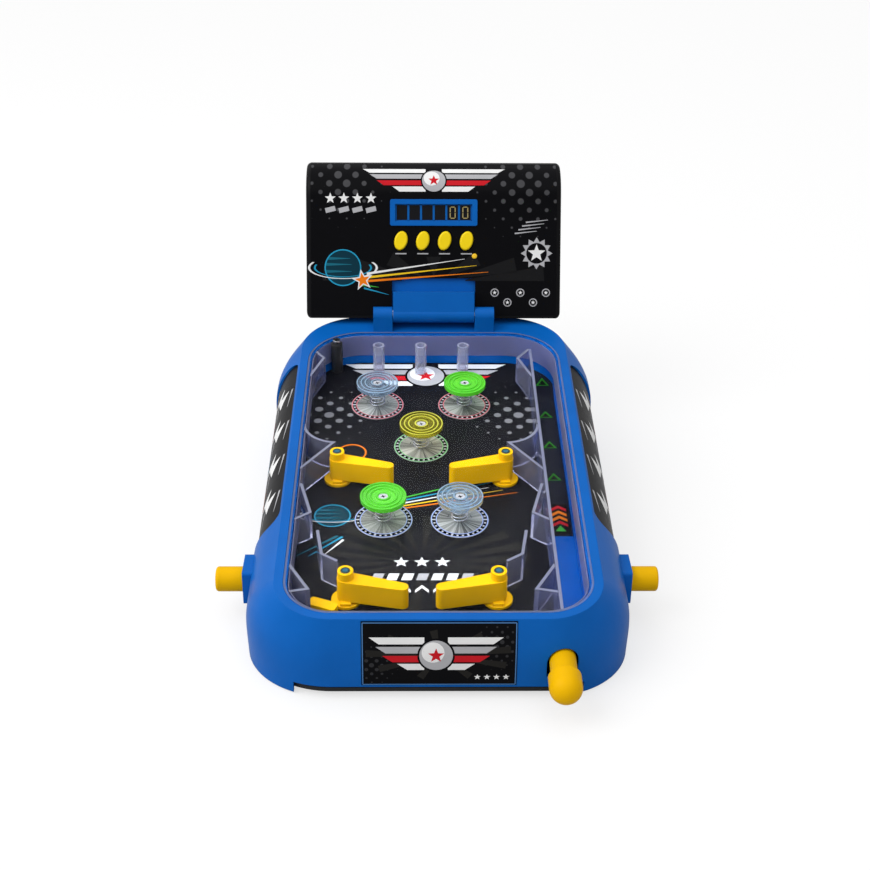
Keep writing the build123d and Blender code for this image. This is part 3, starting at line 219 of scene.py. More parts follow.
def plasticMaterial(name, colour, gloss=0.25, spread=0.12, depth=0.1, shine=0.3, metal=0.0):
    material, tree, shader = startMaterial(name)
    skin = placeGroup(
        tree, mouldedSkin, {**plasticSkin, "Gloss": gloss, "Spread": spread, "Depth": depth}
    )
    dressShader(tree, shader, colour, skin)
    shader.inputs["Metallic"].default_value = metal
    shader.inputs["Specular IOR Level"].default_value = shine
    return material


def clearMaterial(name, colour, gloss, index, clear=1.0):
    material, tree, shader = startMaterial(name)
    skin = placeGroup(tree, mouldedSkin, {**clearSkin, "Gloss": gloss})
    dressShader(tree, shader, colour, skin)
    shader.inputs["Transmission Weight"].default_value = clear
    shader.inputs["IOR"].default_value = index
    # Light passes through to what lies below
    seeThrough = addNode(tree, "ShaderNodeBsdfTransparent", {"Color": (*colour, 1)})
    shadow = addNode(tree, "ShaderNodeLightPath").outputs["Is Shadow Ray"]
    blend = addNode(
        tree, "ShaderNodeMixShader", {0: shadow, 1: shader.outputs[0], 2: seeThrough.outputs[0]}
    )
    tree.links.new(blend.outputs[0], tree.nodes["Material Output"].inputs["Surface"])
    return material


def printMaterial(name, origin, turn, paper, ink, patches, pitch):
    material, tree, shader = startMaterial(name)
    place = addNode(tree, "ShaderNodeTexCoord").outputs["Object"]
    point = addNode(
        tree, "ShaderNodeMapping",
        {"Vector": place, "Location": origin, "Rotation": (turn, 0, 0), "Scale": (0.001, 0.001, 0.001)},
        vector_type="TEXTURE",
    ).outputs[0]
    cells = placeGroup(tree, dotCells, {"Point": point, "Pitch": pitch})
    size = 0.0
    for middle, radius in patches:
        patch = placeGroup(
            tree, softPatch, {"Point": cells["Middle"], "Middle": (*middle, 0), "Radius": radius}
        )
        size = calculate(tree, "MAXIMUM", patch["Mask"], size)
    size = stretch(tree, size, 0.0, 1.0, *printLook["dotSizes"])
    inside = calculate(tree, "SUBTRACT", size, cells["Reach"])
    dots = stretch(tree, inside, *printLook["dotEdge"], 0.0, 1.0)
    tint = addNode(
        tree, "ShaderNodeMix", {0: dots, 6: (*paper, 1), 7: (*ink, 1)}, data_type="RGBA"
    ).outputs[2]
    dressShader(tree, shader, tint, placeGroup(tree, mouldedSkin, printSkin))
    shader.inputs["Specular IOR Level"].default_value = printLook["shine"]
    return material


def inkMaterial(name, glow=0.0):
    material, tree, shader = startMaterial(name)
    ink = addNode(tree, "ShaderNodeVertexColor", layer_name="ink").outputs["Color"]
    dressShader(tree, shader, ink, placeGroup(tree, mouldedSkin, inkSkin))
    tree.links.new(ink, shader.inputs["Emission Color"])
    shader.inputs["Emission Strength"].default_value = glow
    shader.inputs["Specular IOR Level"].default_value = inkShine
    return material


# Finishes, by the record's material slots
blueMould = {"colour": (0.002, 0.112, 0.45), "gloss": 0.3, "shine": 0.09}
yellowMould = {"colour": (0.8, 0.44, 0.002), "gloss": 0.3, "shine": 0.04}
blackMould = {"colour": (0.006, 0.006, 0.007), "gloss": 0.28, "shine": 0.06}
capBlue = {"colour": (0.62, 0.76, 0.88), "gloss": 0.1, "index": 1.15, "clear": 0.91}
capGreen = {"colour": (0.15, 0.68, 0.05), "gloss": 0.16, "index": 1.25, "clear": 0.45}
capYellow = {"colour": (0.72, 0.66, 0.05), "gloss": 0.1, "index": 1.15, "clear": 0.92}
fieldDots = {
    "paper": (0.008, 0.008, 0.01), "ink": (0.2, 0.2, 0.21), "pitch": 11.6,
    "patches": [((fieldMiddle - 74, 222), 56), ((fieldMiddle + 74, 222), 56)],
}
laneDots = {
    "paper": (0.012, 0.013, 0.018), "ink": (0.022, 0.025, 0.035), "pitch": 3.2,
    "patches": [((88, 160), 120)],
}
bumperDots = {
    "paper": (0.3, 0.3, 0.3), "ink": (0.2, 0.2, 0.2), "pitch": 1.4,
    "patches": [((fieldMiddle, 170), 400)],
}
scoreDots = {
    "paper": (0.004, 0.004, 0.005), "ink": (0.06, 0.06, 0.065), "pitch": 10.0,
    "patches": [((74, 106), 62), ((-74, 110), 52)],
}
labelDots = {
    "paper": (0.004, 0.004, 0.005), "ink": (0.03, 0.03, 0.033), "pitch": 4.6,
    "patches": [((38, 40), 26), ((-42, 26), 24)],
}
finishes = {
    "blue_gloss_plastic": plasticMaterial("blueMould", **blueMould),
    "yellow_gloss_plastic": plasticMaterial("yellowMould", **yellowMould),
    "black_gloss_plastic": plasticMaterial("blackMould", **blackMould),
    "clear_plastic": clearMaterial("clearMould", (0.96, 0.975, 1.0), gloss=0.04, index=1.06),
    "clear_blue_plastic": clearMaterial("clearBlue", **capBlue),
    "clear_green_plastic": clearMaterial("clearGreen", **capGreen),
    "clear_yellow_plastic": clearMaterial("clearYellow", **capYellow),
    "base_plastic": plasticMaterial("mattBase", (0.02, 0.02, 0.022), gloss=0.5, depth=0.5),
    "inner_plastic": plasticMaterial("whiteMould", (0.7, 0.7, 0.67), gloss=0.4),
    "steel": plasticMaterial("springSteel", (0.62, 0.62, 0.64), gloss=0.22, metal=1.0),
    "ball_chrome": plasticMaterial(
        "polishedBall", (0.8, 0.8, 0.82), gloss=0.06, spread=0.05, depth=0.0, metal=1.0
    ),
    "foot_rubber": plasticMaterial("footRubber", (0.02, 0.02, 0.02), gloss=0.75, depth=0.6),
    "battery_wrap": plasticMaterial("batteryWrap", (0.08, 0.08, 0.1), gloss=0.3),
    "contact_brass": plasticMaterial("contactBrass", (0.75, 0.58, 0.3), gloss=0.3, metal=1.0),
    "board_green": plasticMaterial("boardGreen", (0.02, 0.16, 0.05), gloss=0.35),
    "display_dark": plasticMaterial("displayDark", (0.006, 0.006, 0.008), gloss=0.12, shine=0.15),
    "lamp_amber": plasticMaterial("lampLens", (0.9, 0.55, 0.02), gloss=0.15),
    "field_print": printMaterial("fieldPrint", fieldOrigin, fieldTilt, **fieldDots),
    "lane_print": printMaterial("lanePrint", fieldOrigin, fieldTilt, **laneDots),
    "bumper_print": printMaterial("bumperPrint", fieldOrigin, fieldTilt, **bumperDots),
    "score_print": printMaterial("scorePrint", scoreHinge, scoreLean, **scoreDots),
    "label_print": printMaterial("labelPrint", Vector((0, 0, 0)), math.pi / 2, **labelDots),
}
keyMould = plasticMaterial("keyMould", (0.9, 0.66, 0.006), gloss=0.2, shine=0.2)
ownFinish = {
    "guide_walls": clearMaterial("hazyWalls", (0.6, 0.61, 0.78), gloss=0.1, index=1.18, clear=0.92),
    "cover_pins": clearMaterial("hazyTubes", (0.74, 0.76, 0.86), gloss=0.2, index=1.2, clear=0.85),
    **{row + "_score_button": keyMould for row in ("first", "second", "third", "fourth")},
}
for subpart in frame["record"]["subparts"]:
    mesh = parts[subpart["node"]].data
    mesh.materials.clear()
    mesh.materials.append(ownFinish.get(subpart["node"], finishes[subpart["material_slot"]]))
print("finishes set on", len(parts), "pieces")


# A finished mesh becomes a piece that rides on a body and takes its finish from a slot
def finishPiece(bm, name, body, slot, standsFor=(), smooth=True, material=None):
    mesh = bpy.data.meshes.new(name)
    bm.to_mesh(mesh)
    bm.free()
    for polygon in mesh.polygons:
        polygon.use_smooth = smooth
    mesh.materials.append(material or finishes[slot])
    piece = bpy.data.objects.new(name, mesh)
    bpy.context.collection.objects.link(piece)
    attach(piece, body)
    if standsFor:
        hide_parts(*standsFor)
    return piece


weldReach = 0.00001


def copyNode(node):
    copy = bmesh.new()
    copy.from_mesh(parts[node].data)
    bmesh.ops.remove_doubles(copy, verts=copy.verts[:], dist=weldReach)
    return copy


# Printed art: flat shapes in mm, laid on a surface point by point
inks = {
    "white": (0.8, 0.8, 0.8, 1), "silver": (0.42, 0.42, 0.44, 1),
    "black": (0.003, 0.003, 0.004, 1), "dusk": (0.017, 0.016, 0.015, 1), "red": (0.55, 0.012, 0.02, 1),
    "orange": (0.85, 0.2, 0.01, 1), "yellow": (0.88, 0.56, 0.02, 1), "gold": (0.3, 0.24, 0.1, 1),
    "green": (0.06, 0.42, 0.05, 1), "deepGreen": (0.03, 0.26, 0.015, 1), "cyan": (0.02, 0.3, 0.5, 1),
    "teal": (0.012, 0.13, 0.19, 1), "night": (0.005, 0.035, 0.055, 1), "bezelBlue": (0.005, 0.11, 0.4, 1),
    "pinRim": (0.02, 0.045, 0.03, 1), "pinCore": (0.03, 0.1, 0.15, 1), "edgeGlintBlue": (0.08, 0.21, 0.46, 1),
    "paleRed": (0.62, 0.16, 0.19, 1), "paleGreen": (0.2, 0.5, 0.22, 1), "paleBlue": (0.32, 0.4, 0.72, 1),
}
inkPrint = inkMaterial("inkPrint")
inkGlow = inkMaterial("inkGlow", glow=0.3)
inkStep = 0.02  # mm between one layer of ink and the next
printLift = 0.05  # mm above the printed surface
discTips = 18  # a disc is a star of this many tips without a waist
splitRounds = 6  # rounds of splitting at most, so that art follows its surface


def startArt():
    sheet = bmesh.new()
    return sheet, sheet.loops.layers.float_color.new("ink")


def stain(art, faces, ink):
    for face in faces:
        for loop in face.loops:
            loop[art[1]] = inks[ink] if isinstance(ink, str) else ink


def lay(art, points, ink, level=0):
    sheet = art[0]
    face = sheet.faces.new([sheet.verts.new((x, y, level * inkStep)) for x, y in points])
    stain(art, [face], ink)


def ring(art, middle, outer, inner, ink, level=0, sides=48, start=0.0, turn=360.0, squash=1.0):
    sheet = art[0]
    oldFaces, oldVerts = len(sheet.faces), len(sheet.verts)
    ends = [sheet.verts.new((reach, 0, 0)) for reach in (inner, outer)]
    line = sheet.edges.new(ends)
    bmesh.ops.rotate(sheet, verts=ends, cent=(0, 0, 0), matrix=Matrix.Rotation(math.radians(start), 3, "Z"))
    bmesh.ops.spin(
        sheet, geom=[*ends, line], cent=(0, 0, 0), axis=(0, 0, 1), angle=math.radians(turn), steps=sides,
        use_merge=turn == 360.0,
    )
    made = sheet.verts[:][oldVerts:]
    bmesh.ops.scale(sheet, verts=made, vec=(1, squash, 1))
    bmesh.ops.translate(sheet, verts=made, vec=(*middle, level * inkStep))
    stain(art, sheet.faces[:][oldFaces:], ink)


def streak(start, end, startWidth, endWidth):
    way = (Vector(end) - Vector(start)).normalized()
    side = Vector((-way.y, way.x))
    corners = [Vector(start) + side * startWidth / 2, Vector(start) - side * startWidth / 2]
    corners += [Vector(end) - side * endWidth / 2, Vector(end) + side * endWidth / 2]
    return [tuple(corner) for corner in corners]


def star(middle, radius, tips=5, waist=0.42, turn=90.0):
    points = []
    for index in range(2 * tips):
        angle = math.radians(turn + index * 180 / tips)
        size = radius * (waist if index % 2 else 1.0)
        points.append((middle[0] + size * math.cos(angle), middle[1] + size * math.sin(angle)))
    return points


def disc(middle, radius):
    return star(middle, radius, tips=discTips, waist=1.0)


def onEllipse(middle, reach, angle):
    return middle[0] + reach[0] * math.cos(angle), middle[1] + reach[1] * math.sin(angle)


def chevron(middle, width, rise, thick):
    x, y = middle
    left, right = x - width / 2, x + width / 2
    return [(left, y - rise), (x, y), (right, y - rise), (right, y - rise - thick), (x, y - thick),
            (left, y - rise - thick)]


def finishArt(art, name, place, body, slot, longest=60.0, material=inkPrint):
    sheet = art[0]
    bmesh.ops.triangulate(sheet, faces=sheet.faces[:])
    for _ in range(splitRounds):
        wide = [edge for edge in sheet.edges if edge.calc_length() > longest]
        if not wide:
            break
        bmesh.ops.subdivide_edges(sheet, edges=wide, cuts=1)
        bmesh.ops.triangulate(sheet, faces=[face for face in sheet.faces if len(face.verts) > 3])
    # All faces look out of the surface that they lie on
    sheet.normal_update()
    bmesh.ops.reverse_faces(sheet, faces=[face for face in sheet.faces if face.normal.z < 0])
    sheet.faces.ensure_lookup_table()
    spot = sheet.faces[0].calc_center_median()
    outward = place(spot.x, spot.y, spot.z + 1) - place(*spot)
    for vert in sheet.verts:
        vert.co = place(*vert.co)
    sheet.normal_update()
    if sheet.faces[0].normal.dot(outward) < 0:
        bmesh.ops.reverse_faces(sheet, faces=sheet.faces[:])
    return finishPiece(sheet, name, body, slot, smooth=False, material=material)


cometShape = {"stagger": 0.6, "fan": 2.1, "shorter": 9, "headShare": 0.62, "tip": 0.3}


def comet(art, head, tail, width, colours, level=0):
    way = (Vector(tail) - Vector(head)).normalized()
    side = Vector((-way.y, way.x))
    lane = width / len(colours)
    for index, ink in enumerate(colours):
        shift = (index - (len(colours) - 1) / 2) * lane
        start = Vector(head) + side * shift + way * abs(shift) * cometShape["stagger"]
        end = Vector(tail) + side * shift * cometShape["fan"] - way * (index % 3) * cometShape["shorter"]
        lay(art, streak(start, end, lane * cometShape["headShare"], cometShape["tip"]), ink, level)


# Shares of the ball's radius, but of the wing's span for each feather's length
badgeShape = {
    "feathers": (("white", 0.95, 1.0), ("silver", 0.35, 0.9), ("red", -0.25, 0.8), ("white", -0.8, 0.58)),
    "root": 0.7, "below": 0.2, "above": 0.24, "slant": 0.6, "outline": 1.12, "gleam": (-0.18, 0.2),
    "gleamSize": 0.68, "star": 0.5,
}


def wingedBall(art, middle, radius, span, level=0):
    x, y = middle
    for sign in (-1, 1):
        for ink, rise, share in badgeShape["feathers"]:
            start = x + sign * radius * badgeShape["root"]
            end = x + sign * span * share
            low, high = y + radius * (rise - badgeShape["below"]), y + radius * (rise + badgeShape["above"])
            lowEnd = end - sign * radius * badgeShape["slant"]
            lay(art, [(start, high), (end, high), (lowEnd, low), (start, low)], ink, level)
    gleamX, gleamY = badgeShape["gleam"]
    gleam = (x + radius * gleamX, y + radius * gleamY)
    lay(art, disc(middle, radius * badgeShape["outline"]), "black", level + 1)
    lay(art, disc(middle, radius), "silver", level + 2)
    lay(art, disc(gleam, radius * badgeShape["gleamSize"]), "white", level + 3)
    lay(art, star(middle, radius * badgeShape["star"]), "red", level + 4)


# Shares of the planet's radius, but the widths of its bands in mm
planetShape = {
    "bands": ((0.5, 0.8), (0.18, 0.94), (-0.2, 0.94), (-0.56, 0.76)), "bandEnd": 0.5,
    "bandWidths": (2.4, 0.3), "outline": 0.93, "squash": 0.32,
    "rings": (("white", 1.9, 1.78, 150, 240), ("cyan", 1.58, 1.48, 160, 220)),
}


def ringedPlanet(art, middle, radius, level=0):
    x, y = middle
    lay(art, disc(middle, radius), "night", level)
    for rise, share in planetShape["bands"]:
        reach = radius * share
        start = (x - reach, y + rise * radius)
        end = (x + reach * planetShape["bandEnd"], y + rise * radius)
        lay(art, streak(start, end, *planetShape["bandWidths"]), "teal", level + 1)
    ring(art, middle, radius, radius * planetShape["outline"], "cyan", level + 2)
    for ink, outer, inner, start, turn in planetShape["rings"]:
        ring(
            art, middle, radius * outer, radius * inner, ink, level + 3, start=start, turn=turn,
            squash=planetShape["squash"],
        )


# Playfield art, across from the field's middle line and up the field
fieldDesign = {
    "rays": (0, 40), "rayCount": 22, "rayTurn": 4, "rayStart": (16, 12), "rayEnd": (74, 52),
    "rayWidths": (1.0, 9.0), "badge": (4, 279), "badgeSize": (15, 66),
    "comet": ((-22, 104), (66, 131)), "cometWidth": 14, "star": (-27, 103), "starTurn": 104,
    "starSizes": (("white", 10.5), ("orange", 7.6)), "planet": (-63, 92), "planetSize": 13,
    "smallComet": ((-55, 68), (-84, 40)), "smallWidth": 9,
    "arc": (-52, 170), "arcSize": (11, 9.9), "arcStart": -40, "arcTurn": 230,
    "stars": (-14, 40), "starCount": 3, "starPitch": 14, "starSize": 5.6,
    "blocks": (-34, 21), "blockCount": 7, "blockPitch": 10, "block": ((0, 0), (7, 0), (9, 7), (2, 7)),
    "chevrons": (-24, 16), "chevronCount": 5, "chevronPitch": 12, "chevron": (9, 5, 3.0),
}


def fromMiddle(spot, shift=0):
    return fieldMiddle + (spot[0] + shift), spot[1]


fieldArt = startArt()
rayMiddle = fromMiddle(fieldDesign["rays"])
for index in range(fieldDesign["rayCount"]):
    angle = math.radians(index * 360 / fieldDesign["rayCount"] + fieldDesign["rayTurn"])
    start = onEllipse(rayMiddle, fieldDesign["rayStart"], angle)
    end = onEllipse(rayMiddle, fieldDesign["rayEnd"], angle)
    lay(fieldArt, streak(start, end, *fieldDesign["rayWidths"]), "dusk")
wingedBall(fieldArt, fromMiddle(fieldDesign["badge"]), *fieldDesign["badgeSize"], level=1)
cometHead, cometTail = (fromMiddle(spot) for spot in fieldDesign["comet"])
cometInks = ("orange", "yellow", "white", "cyan", "green")
comet(fieldArt, cometHead, cometTail, fieldDesign["cometWidth"], cometInks, level=1)
for layer, (ink, size) in enumerate(fieldDesign["starSizes"]):
    tips = star(fromMiddle(fieldDesign["star"]), size, turn=fieldDesign["starTurn"])
    lay(fieldArt, tips, ink, 2 + layer)
ringedPlanet(fieldArt, fromMiddle(fieldDesign["planet"]), fieldDesign["planetSize"], level=1)
cometHead, cometTail = (fromMiddle(spot) for spot in fieldDesign["smallComet"])
comet(fieldArt, cometHead, cometTail, fieldDesign["smallWidth"], ("teal", "cyan", "white"), level=1)
ring(
    fieldArt, fromMiddle(fieldDesign["arc"]), *fieldDesign["arcSize"], "orange", level=1,
    start=fieldDesign["arcStart"], turn=fieldDesign["arcTurn"],
)
for index in range(fieldDesign["starCount"]):
    spot = fromMiddle(fieldDesign["stars"], index * fieldDesign["starPitch"])
    lay(fieldArt, star(spot, fieldDesign["starSize"]), "white", 1)
for index in range(fieldDesign["blockCount"]):
    x, y = fromMiddle(fieldDesign["blocks"], index * fieldDesign["blockPitch"])
    corners = [(x + right, y + up) for right, up in fieldDesign["block"]]
    lay(fieldArt, corners, "white" if index % 3 else "silver", 1)
for index in range(fieldDesign["chevronCount"]):
    spot = fromMiddle(fieldDesign["chevrons"], index * fieldDesign["chevronPitch"])
    lay(fieldArt, chevron(spot, *fieldDesign["chevron"]), "white", 1)
finishArt(fieldArt, "fieldArt", lambda x, y, z: onField(x, y, printLift + z), "cabinet", "field_print")

# Bumper discs: coloured rim lines, a dark band with marks, a brushed silvery middle with painted highlight
# wedges
bumperDisc = {
    "top": 0.4, "rim": 20.3, "band": 19.6, "inner": 16.8, "brushed": 16.2, "hub": 1.0, "slice": 5,
    "marks": 30, "markRow": 18.2, "markWidth": 1.4, "longMark": 1.3, "shortMark": 0.8,
}
brushedAndGlintLook = {"lean": 70, "dark": 0.07, "gleam": 0.16, "scatter": 0.3, "scatterPower": 1.2, "warm": 0.93}
bumperInk = {
    "upper_left": "paleRed", "upper_right": "paleRed", "middle": "paleGreen", "lower_left": "paleBlue",
    "lower_right": "paleBlue",
}
decalArt = startArt()
bumperSpots = {}
for name, ink in bumperInk.items():
    low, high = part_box("bumper_cap_" + name)
    middle = (Vector(low) + Vector(high)) / 2 - fieldOrigin
    spot = (middle.x * 1000, middle.dot(fieldAlong) * 1000)
    bumperSpots[name] = spot
    ring(decalArt, spot, bumperDisc["rim"], bumperDisc["band"], ink)
    ring(decalArt, spot, bumperDisc["band"], bumperDisc["inner"], "black")
    ring(decalArt, spot, bumperDisc["inner"], bumperDisc["brushed"], ink)
    for angle in range(0, 360, bumperDisc["slice"]):
        # Two bright and two dark wedges round each middle are painted highlight; the random scatter is the
        # brushed grain
        paintedGlint = 0.5 + 0.5 * math.cos(math.radians(2 * angle - brushedAndGlintLook["lean"]))
        scatter = random.uniform(0.0, brushedAndGlintLook["scatter"]) ** brushedAndGlintLook["scatterPower"]
        shade = brushedAndGlintLook["dark"] + brushedAndGlintLook["gleam"] * paintedGlint ** 2 + scatter
        tone = (shade, shade, shade * brushedAndGlintLook["warm"], 1)
        ring(
            decalArt, spot, bumperDisc["brushed"], bumperDisc["hub"], tone, sides=1, start=angle,
            turn=bumperDisc["slice"],
        )
    for index in range(bumperDisc["marks"]):
        angle = math.radians(index * 360 / bumperDisc["marks"])
        way = Vector((math.cos(angle), math.sin(angle)))
        size = bumperDisc["shortMark"] if index % 3 else bumperDisc["longMark"]
        start = Vector(spot) + way * (bumperDisc["markRow"] - size)
        end = Vector(spot) + way * (bumperDisc["markRow"] + size)
        lay(decalArt, streak(start, end, bumperDisc["markWidth"], bumperDisc["markWidth"]), "silver", 1)
finishArt(
    decalArt, "decalArt", lambda x, y, z: onField(x, y, bumperDisc["top"] + printLift + z), "cabinet",
    "bumper_print",
)

# Bumper caps: a bright screw in the middle with its cross painted black as shade in the recess, and painted
# shade in the raised rings
bumperCap = {
    "top": 20.6, "ringTop": 21.4, "rings": ((16.1, 15.2), (13.0, 12.1), (9.9, 9.0), (5.0, 3.9)),
    "screw": 3.4, "cross": 2.2, "crossWaist": 0.35, "crossTurn": 20,
}
capSlot = {
    "upper_left": "clear_blue_plastic", "upper_right": "clear_green_plastic",
    "middle": "clear_yellow_plastic", "lower_left": "clear_green_plastic",
    "lower_right": "clear_blue_plastic",
}
ringLook = {"gloss": 0.3, "index": 1.2}
ringShade = {
    # The rings are darker, less clear copies of each cap's plastic: painted shade
    "clear_blue_plastic": clearMaterial("ringShadeBlue", (0.3, 0.43, 0.54), clear=0.6, **ringLook),
    "clear_green_plastic": clearMaterial("ringShadeGreen", (0.09, 0.5, 0.03), clear=0.3, **ringLook),
    "clear_yellow_plastic": clearMaterial("ringShadeYellow", (0.6, 0.58, 0.06), clear=0.4, **ringLook),
}


def onCap(x, y, z):
    return onField(x, y, bumperCap["top"] + printLift + z)


def onCapRings(x, y, z):
    return onField(x, y, bumperCap["ringTop"] + printLift + z)


for name, slot in capSlot.items():
    capArt = startArt()
    lay(capArt, disc(bumperSpots[name], bumperCap["screw"]), "silver")
    # The black cross is painted shade in the screw's recess
    cross = star(
        bumperSpots[name], bumperCap["cross"], tips=4, waist=bumperCap["crossWaist"],
        turn=bumperCap["crossTurn"],
    )
    lay(capArt, cross, "black", 1)
    finishArt(capArt, "capArt_" + name, onCap, "cabinet", slot)
    capRingShade = startArt()
    for outer, inner in bumperCap["rings"]:
        ring(capRingShade, bumperSpots[name], outer, inner, "white")
    finishArt(capRingShade, "capRingShade_" + name, onCapRings, "cabinet", slot, material=ringShade[slot])

# Ball lane: arrows along the strip, and a dark sheet in the lane's paper colour laid on up the ramp and
# over the corner beyond it
lane = {
    "floor": -6.0, "under": -6.4, "lift": 0.012, "layer": 0.5, "rampRise": 5.0, "rampLength": 30.0,
    "corner": 16.0, "arrows": 4, "firstArrow": 272, "arrowPitch": 42, "arrow": 6.2, "arrowHole": 4.0,
    "holeDrop": 0.4, "panelLow": 78, "panelHigh": 114, "halfPanel": 6.5, "chevronTop": 2,
    "chevronPitch": 6, "chevron": (11, 4, 3.2), "tipRise": 6, "tip": 4.4, "longest": 14.0,
}
triangle = {"tips": 3, "waist": 0.5}
stripLow, stripHigh = (Vector(corner) * 1000 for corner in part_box("lane_strip"))
laneMiddle = (stripLow.x + stripHigh.x) / 2
laneHalf = (stripHigh.x - stripLow.x) / 2
stripEnd = stripHigh.y - fieldOrigin.y * 1000
rampStart = (stripEnd + lane["under"] * math.sin(fieldTilt)) / math.cos(fieldTilt)
rampEnd = rampStart + lane["rampLength"]


def onLane(u, v, z):
    share = min(max(0.0, (v - rampStart) / lane["rampLength"]), 1.0)
    return onField(u, v, lane["floor"] + share * lane["rampRise"] + lane["lift"] + z * lane["layer"])


def acrossLane(half, low, high):
    left, right = laneMiddle - half, laneMiddle + half
    return [(left, low), (right, low), (right, high), (left, high)]


laneArt = startArt()
for low, high in ((rampStart, rampEnd), (rampEnd, rampEnd + lane["corner"])):
    lay(laneArt, acrossLane(laneHalf, low, high), (*laneDots["paper"], 1))
for index in range(lane["arrows"]):
    x, y = laneMiddle, lane["firstArrow"] - index * lane["arrowPitch"]
    lay(laneArt, star((x, y), lane["arrow"], **triangle), "deepGreen", 1)
    lay(laneArt, star((x, y - lane["holeDrop"]), lane["arrowHole"], **triangle), "black", 2)
lay(laneArt, acrossLane(lane["halfPanel"], lane["panelLow"], lane["panelHigh"]), "black")
for index, ink in enumerate(("red", "orange", "orange", "red")):
    y = lane["panelHigh"] - lane["chevronTop"] - index * lane["chevronPitch"]
    lay(laneArt, chevron((laneMiddle, y), *lane["chevron"]), ink, 1)
tipSpot = (laneMiddle, lane["panelLow"] + lane["tipRise"])
lay(laneArt, star(tipSpot, lane["tip"], **triangle), "green", 1)
finishArt(laneArt, "laneArt", onLane, "cabinet", "lane_print", longest=lane["longest"])
print("field art laid")

# Score box art on the flat face and over the rolled top
scoreSheet = {"front": 6.9, "bend": 97.0, "roll": 29.6, "layer": 1.6, "longest": 2.4}
scoreRays = {
    "count": 7, "first": 30, "pitch": 20, "widths": (1.0, 12.0), "ink": (0.011, 0.011, 0.012, 1),
    "start": ((0, 24), (30, 8)), "end": ((0, 20), (104, 27)),
}
scoreDesign = {
    "badge": (0, 109), "badgeSize": (9.5, 58), "planet": (-74, 38), "planetSize": 15,
    "comet": ((-56, 30), (44, 41)), "cometWidth": 9, "smallComet": ((-58, 24), (-36, 21)),
    "smallWidth": 7, "star": (-58, 28), "starTurn": 100, "starSizes": (("white", 9), ("orange", 6.4)),
    "marks": (-84, 94), "markCount": 4, "markPitch": 11, "markSize": 4.6, "bar": ((-4, -10), (4, -8)),
    "barWidth": 4.0, "seal": (84, 50), "sealSize": 13, "sealTips": 12, "sealWaist": 0.72,
    "sealDisc": 8.4, "sealStar": 7.4, "dash": ((66, 66), (84, 68)), "dashCount": 4, "dashPitch": 3,
    "dashWidths": (1.2, 0.4), "rings": (50, 18), "ringCount": 5, "ringPitch": 10.5, "ringDrop": 8,
    "ring": (3.4, 2.6), "ringSides": 20, "ringStar": 1.8, "keys": (-26.7, -8.9, 8.9, 26.7),
    "keyLine": 49.5, "keyHalf": 4.5, "keyWidth": 1.0,
}


def onScoreSheet(x, s, z):
    lift = printLift + z * scoreSheet["layer"]
    if s <= scoreSheet["bend"]:
        return onScore(x, s, lift - scoreSheet["front"])
    angle = (s - scoreSheet["bend"]) / scoreSheet["roll"]
    radius = scoreSheet["roll"] + lift
    out = radius * math.cos(angle) - scoreSheet["front"] - scoreSheet["roll"]
    return onScore(x, scoreSheet["bend"] + radius * math.sin(angle), out)


scoreArt = startArt()
for index in range(scoreRays["count"]):
    angle = math.radians(scoreRays["first"] + index * scoreRays["pitch"])
    start, end = (onEllipse(*scoreRays[key], angle) for key in ("start", "end"))
    lay(scoreArt, streak(start, end, *scoreRays["widths"]), scoreRays["ink"])
wingedBall(scoreArt, scoreDesign["badge"], *scoreDesign["badgeSize"], level=1)
ringedPlanet(scoreArt, scoreDesign["planet"], scoreDesign["planetSize"], level=1)
cometInks = ("orange", "yellow", "white")
comet(scoreArt, *scoreDesign["comet"], scoreDesign["cometWidth"], cometInks, level=5)
cometInks = ("cyan", "green", "white")
comet(scoreArt, *scoreDesign["smallComet"], scoreDesign["smallWidth"], cometInks, level=5)
for layer, (ink, size) in enumerate(scoreDesign["starSizes"]):
    lay(scoreArt, star(scoreDesign["star"], size, turn=scoreDesign["starTurn"]), ink, 6 + layer)
for index in range(scoreDesign["markCount"]):
    x, y = scoreDesign["marks"]
    x += index * scoreDesign["markPitch"]
    lay(scoreArt, star((x, y), scoreDesign["markSize"]), "white", 1)
    start, end = ((x + right, y + up) for right, up in scoreDesign["bar"])
    lay(scoreArt, streak(start, end, scoreDesign["barWidth"], scoreDesign["barWidth"]), "silver", 1)
seal = star(
    scoreDesign["seal"], scoreDesign["sealSize"], tips=scoreDesign["sealTips"],
    waist=scoreDesign["sealWaist"],
)
lay(scoreArt, seal, "silver", 1)
lay(scoreArt, disc(scoreDesign["seal"], scoreDesign["sealDisc"]), "black", 2)
lay(scoreArt, star(scoreDesign["seal"], scoreDesign["sealStar"]), "white", 3)
for index in range(scoreDesign["dashCount"]):
    shift = index * scoreDesign["dashPitch"]
    start, end = ((x + shift, y + shift) for x, y in scoreDesign["dash"])
    lay(scoreArt, streak(start, end, *scoreDesign["dashWidths"]), "silver", 1)
for index in range(scoreDesign["ringCount"]):
    x, y = scoreDesign["rings"]
    spot = (x + index * scoreDesign["ringPitch"], y - (index % 2) * scoreDesign["ringDrop"])
    ring(scoreArt, spot, *scoreDesign["ring"], "silver", level=1, sides=scoreDesign["ringSides"])
    lay(scoreArt, star(spot, scoreDesign["ringStar"]), "white", 1)
for x in scoreDesign["keys"]:
    start = (x - scoreDesign["keyHalf"], scoreDesign["keyLine"])
    end = (x + scoreDesign["keyHalf"], scoreDesign["keyLine"])
    lay(scoreArt, streak(start, end, scoreDesign["keyWidth"], scoreDesign["keyWidth"]), "silver", 8)
finishArt(
    scoreArt, "scoreArt", onScoreSheet, "score_box", "score_print", longest=scoreSheet["longest"]
)

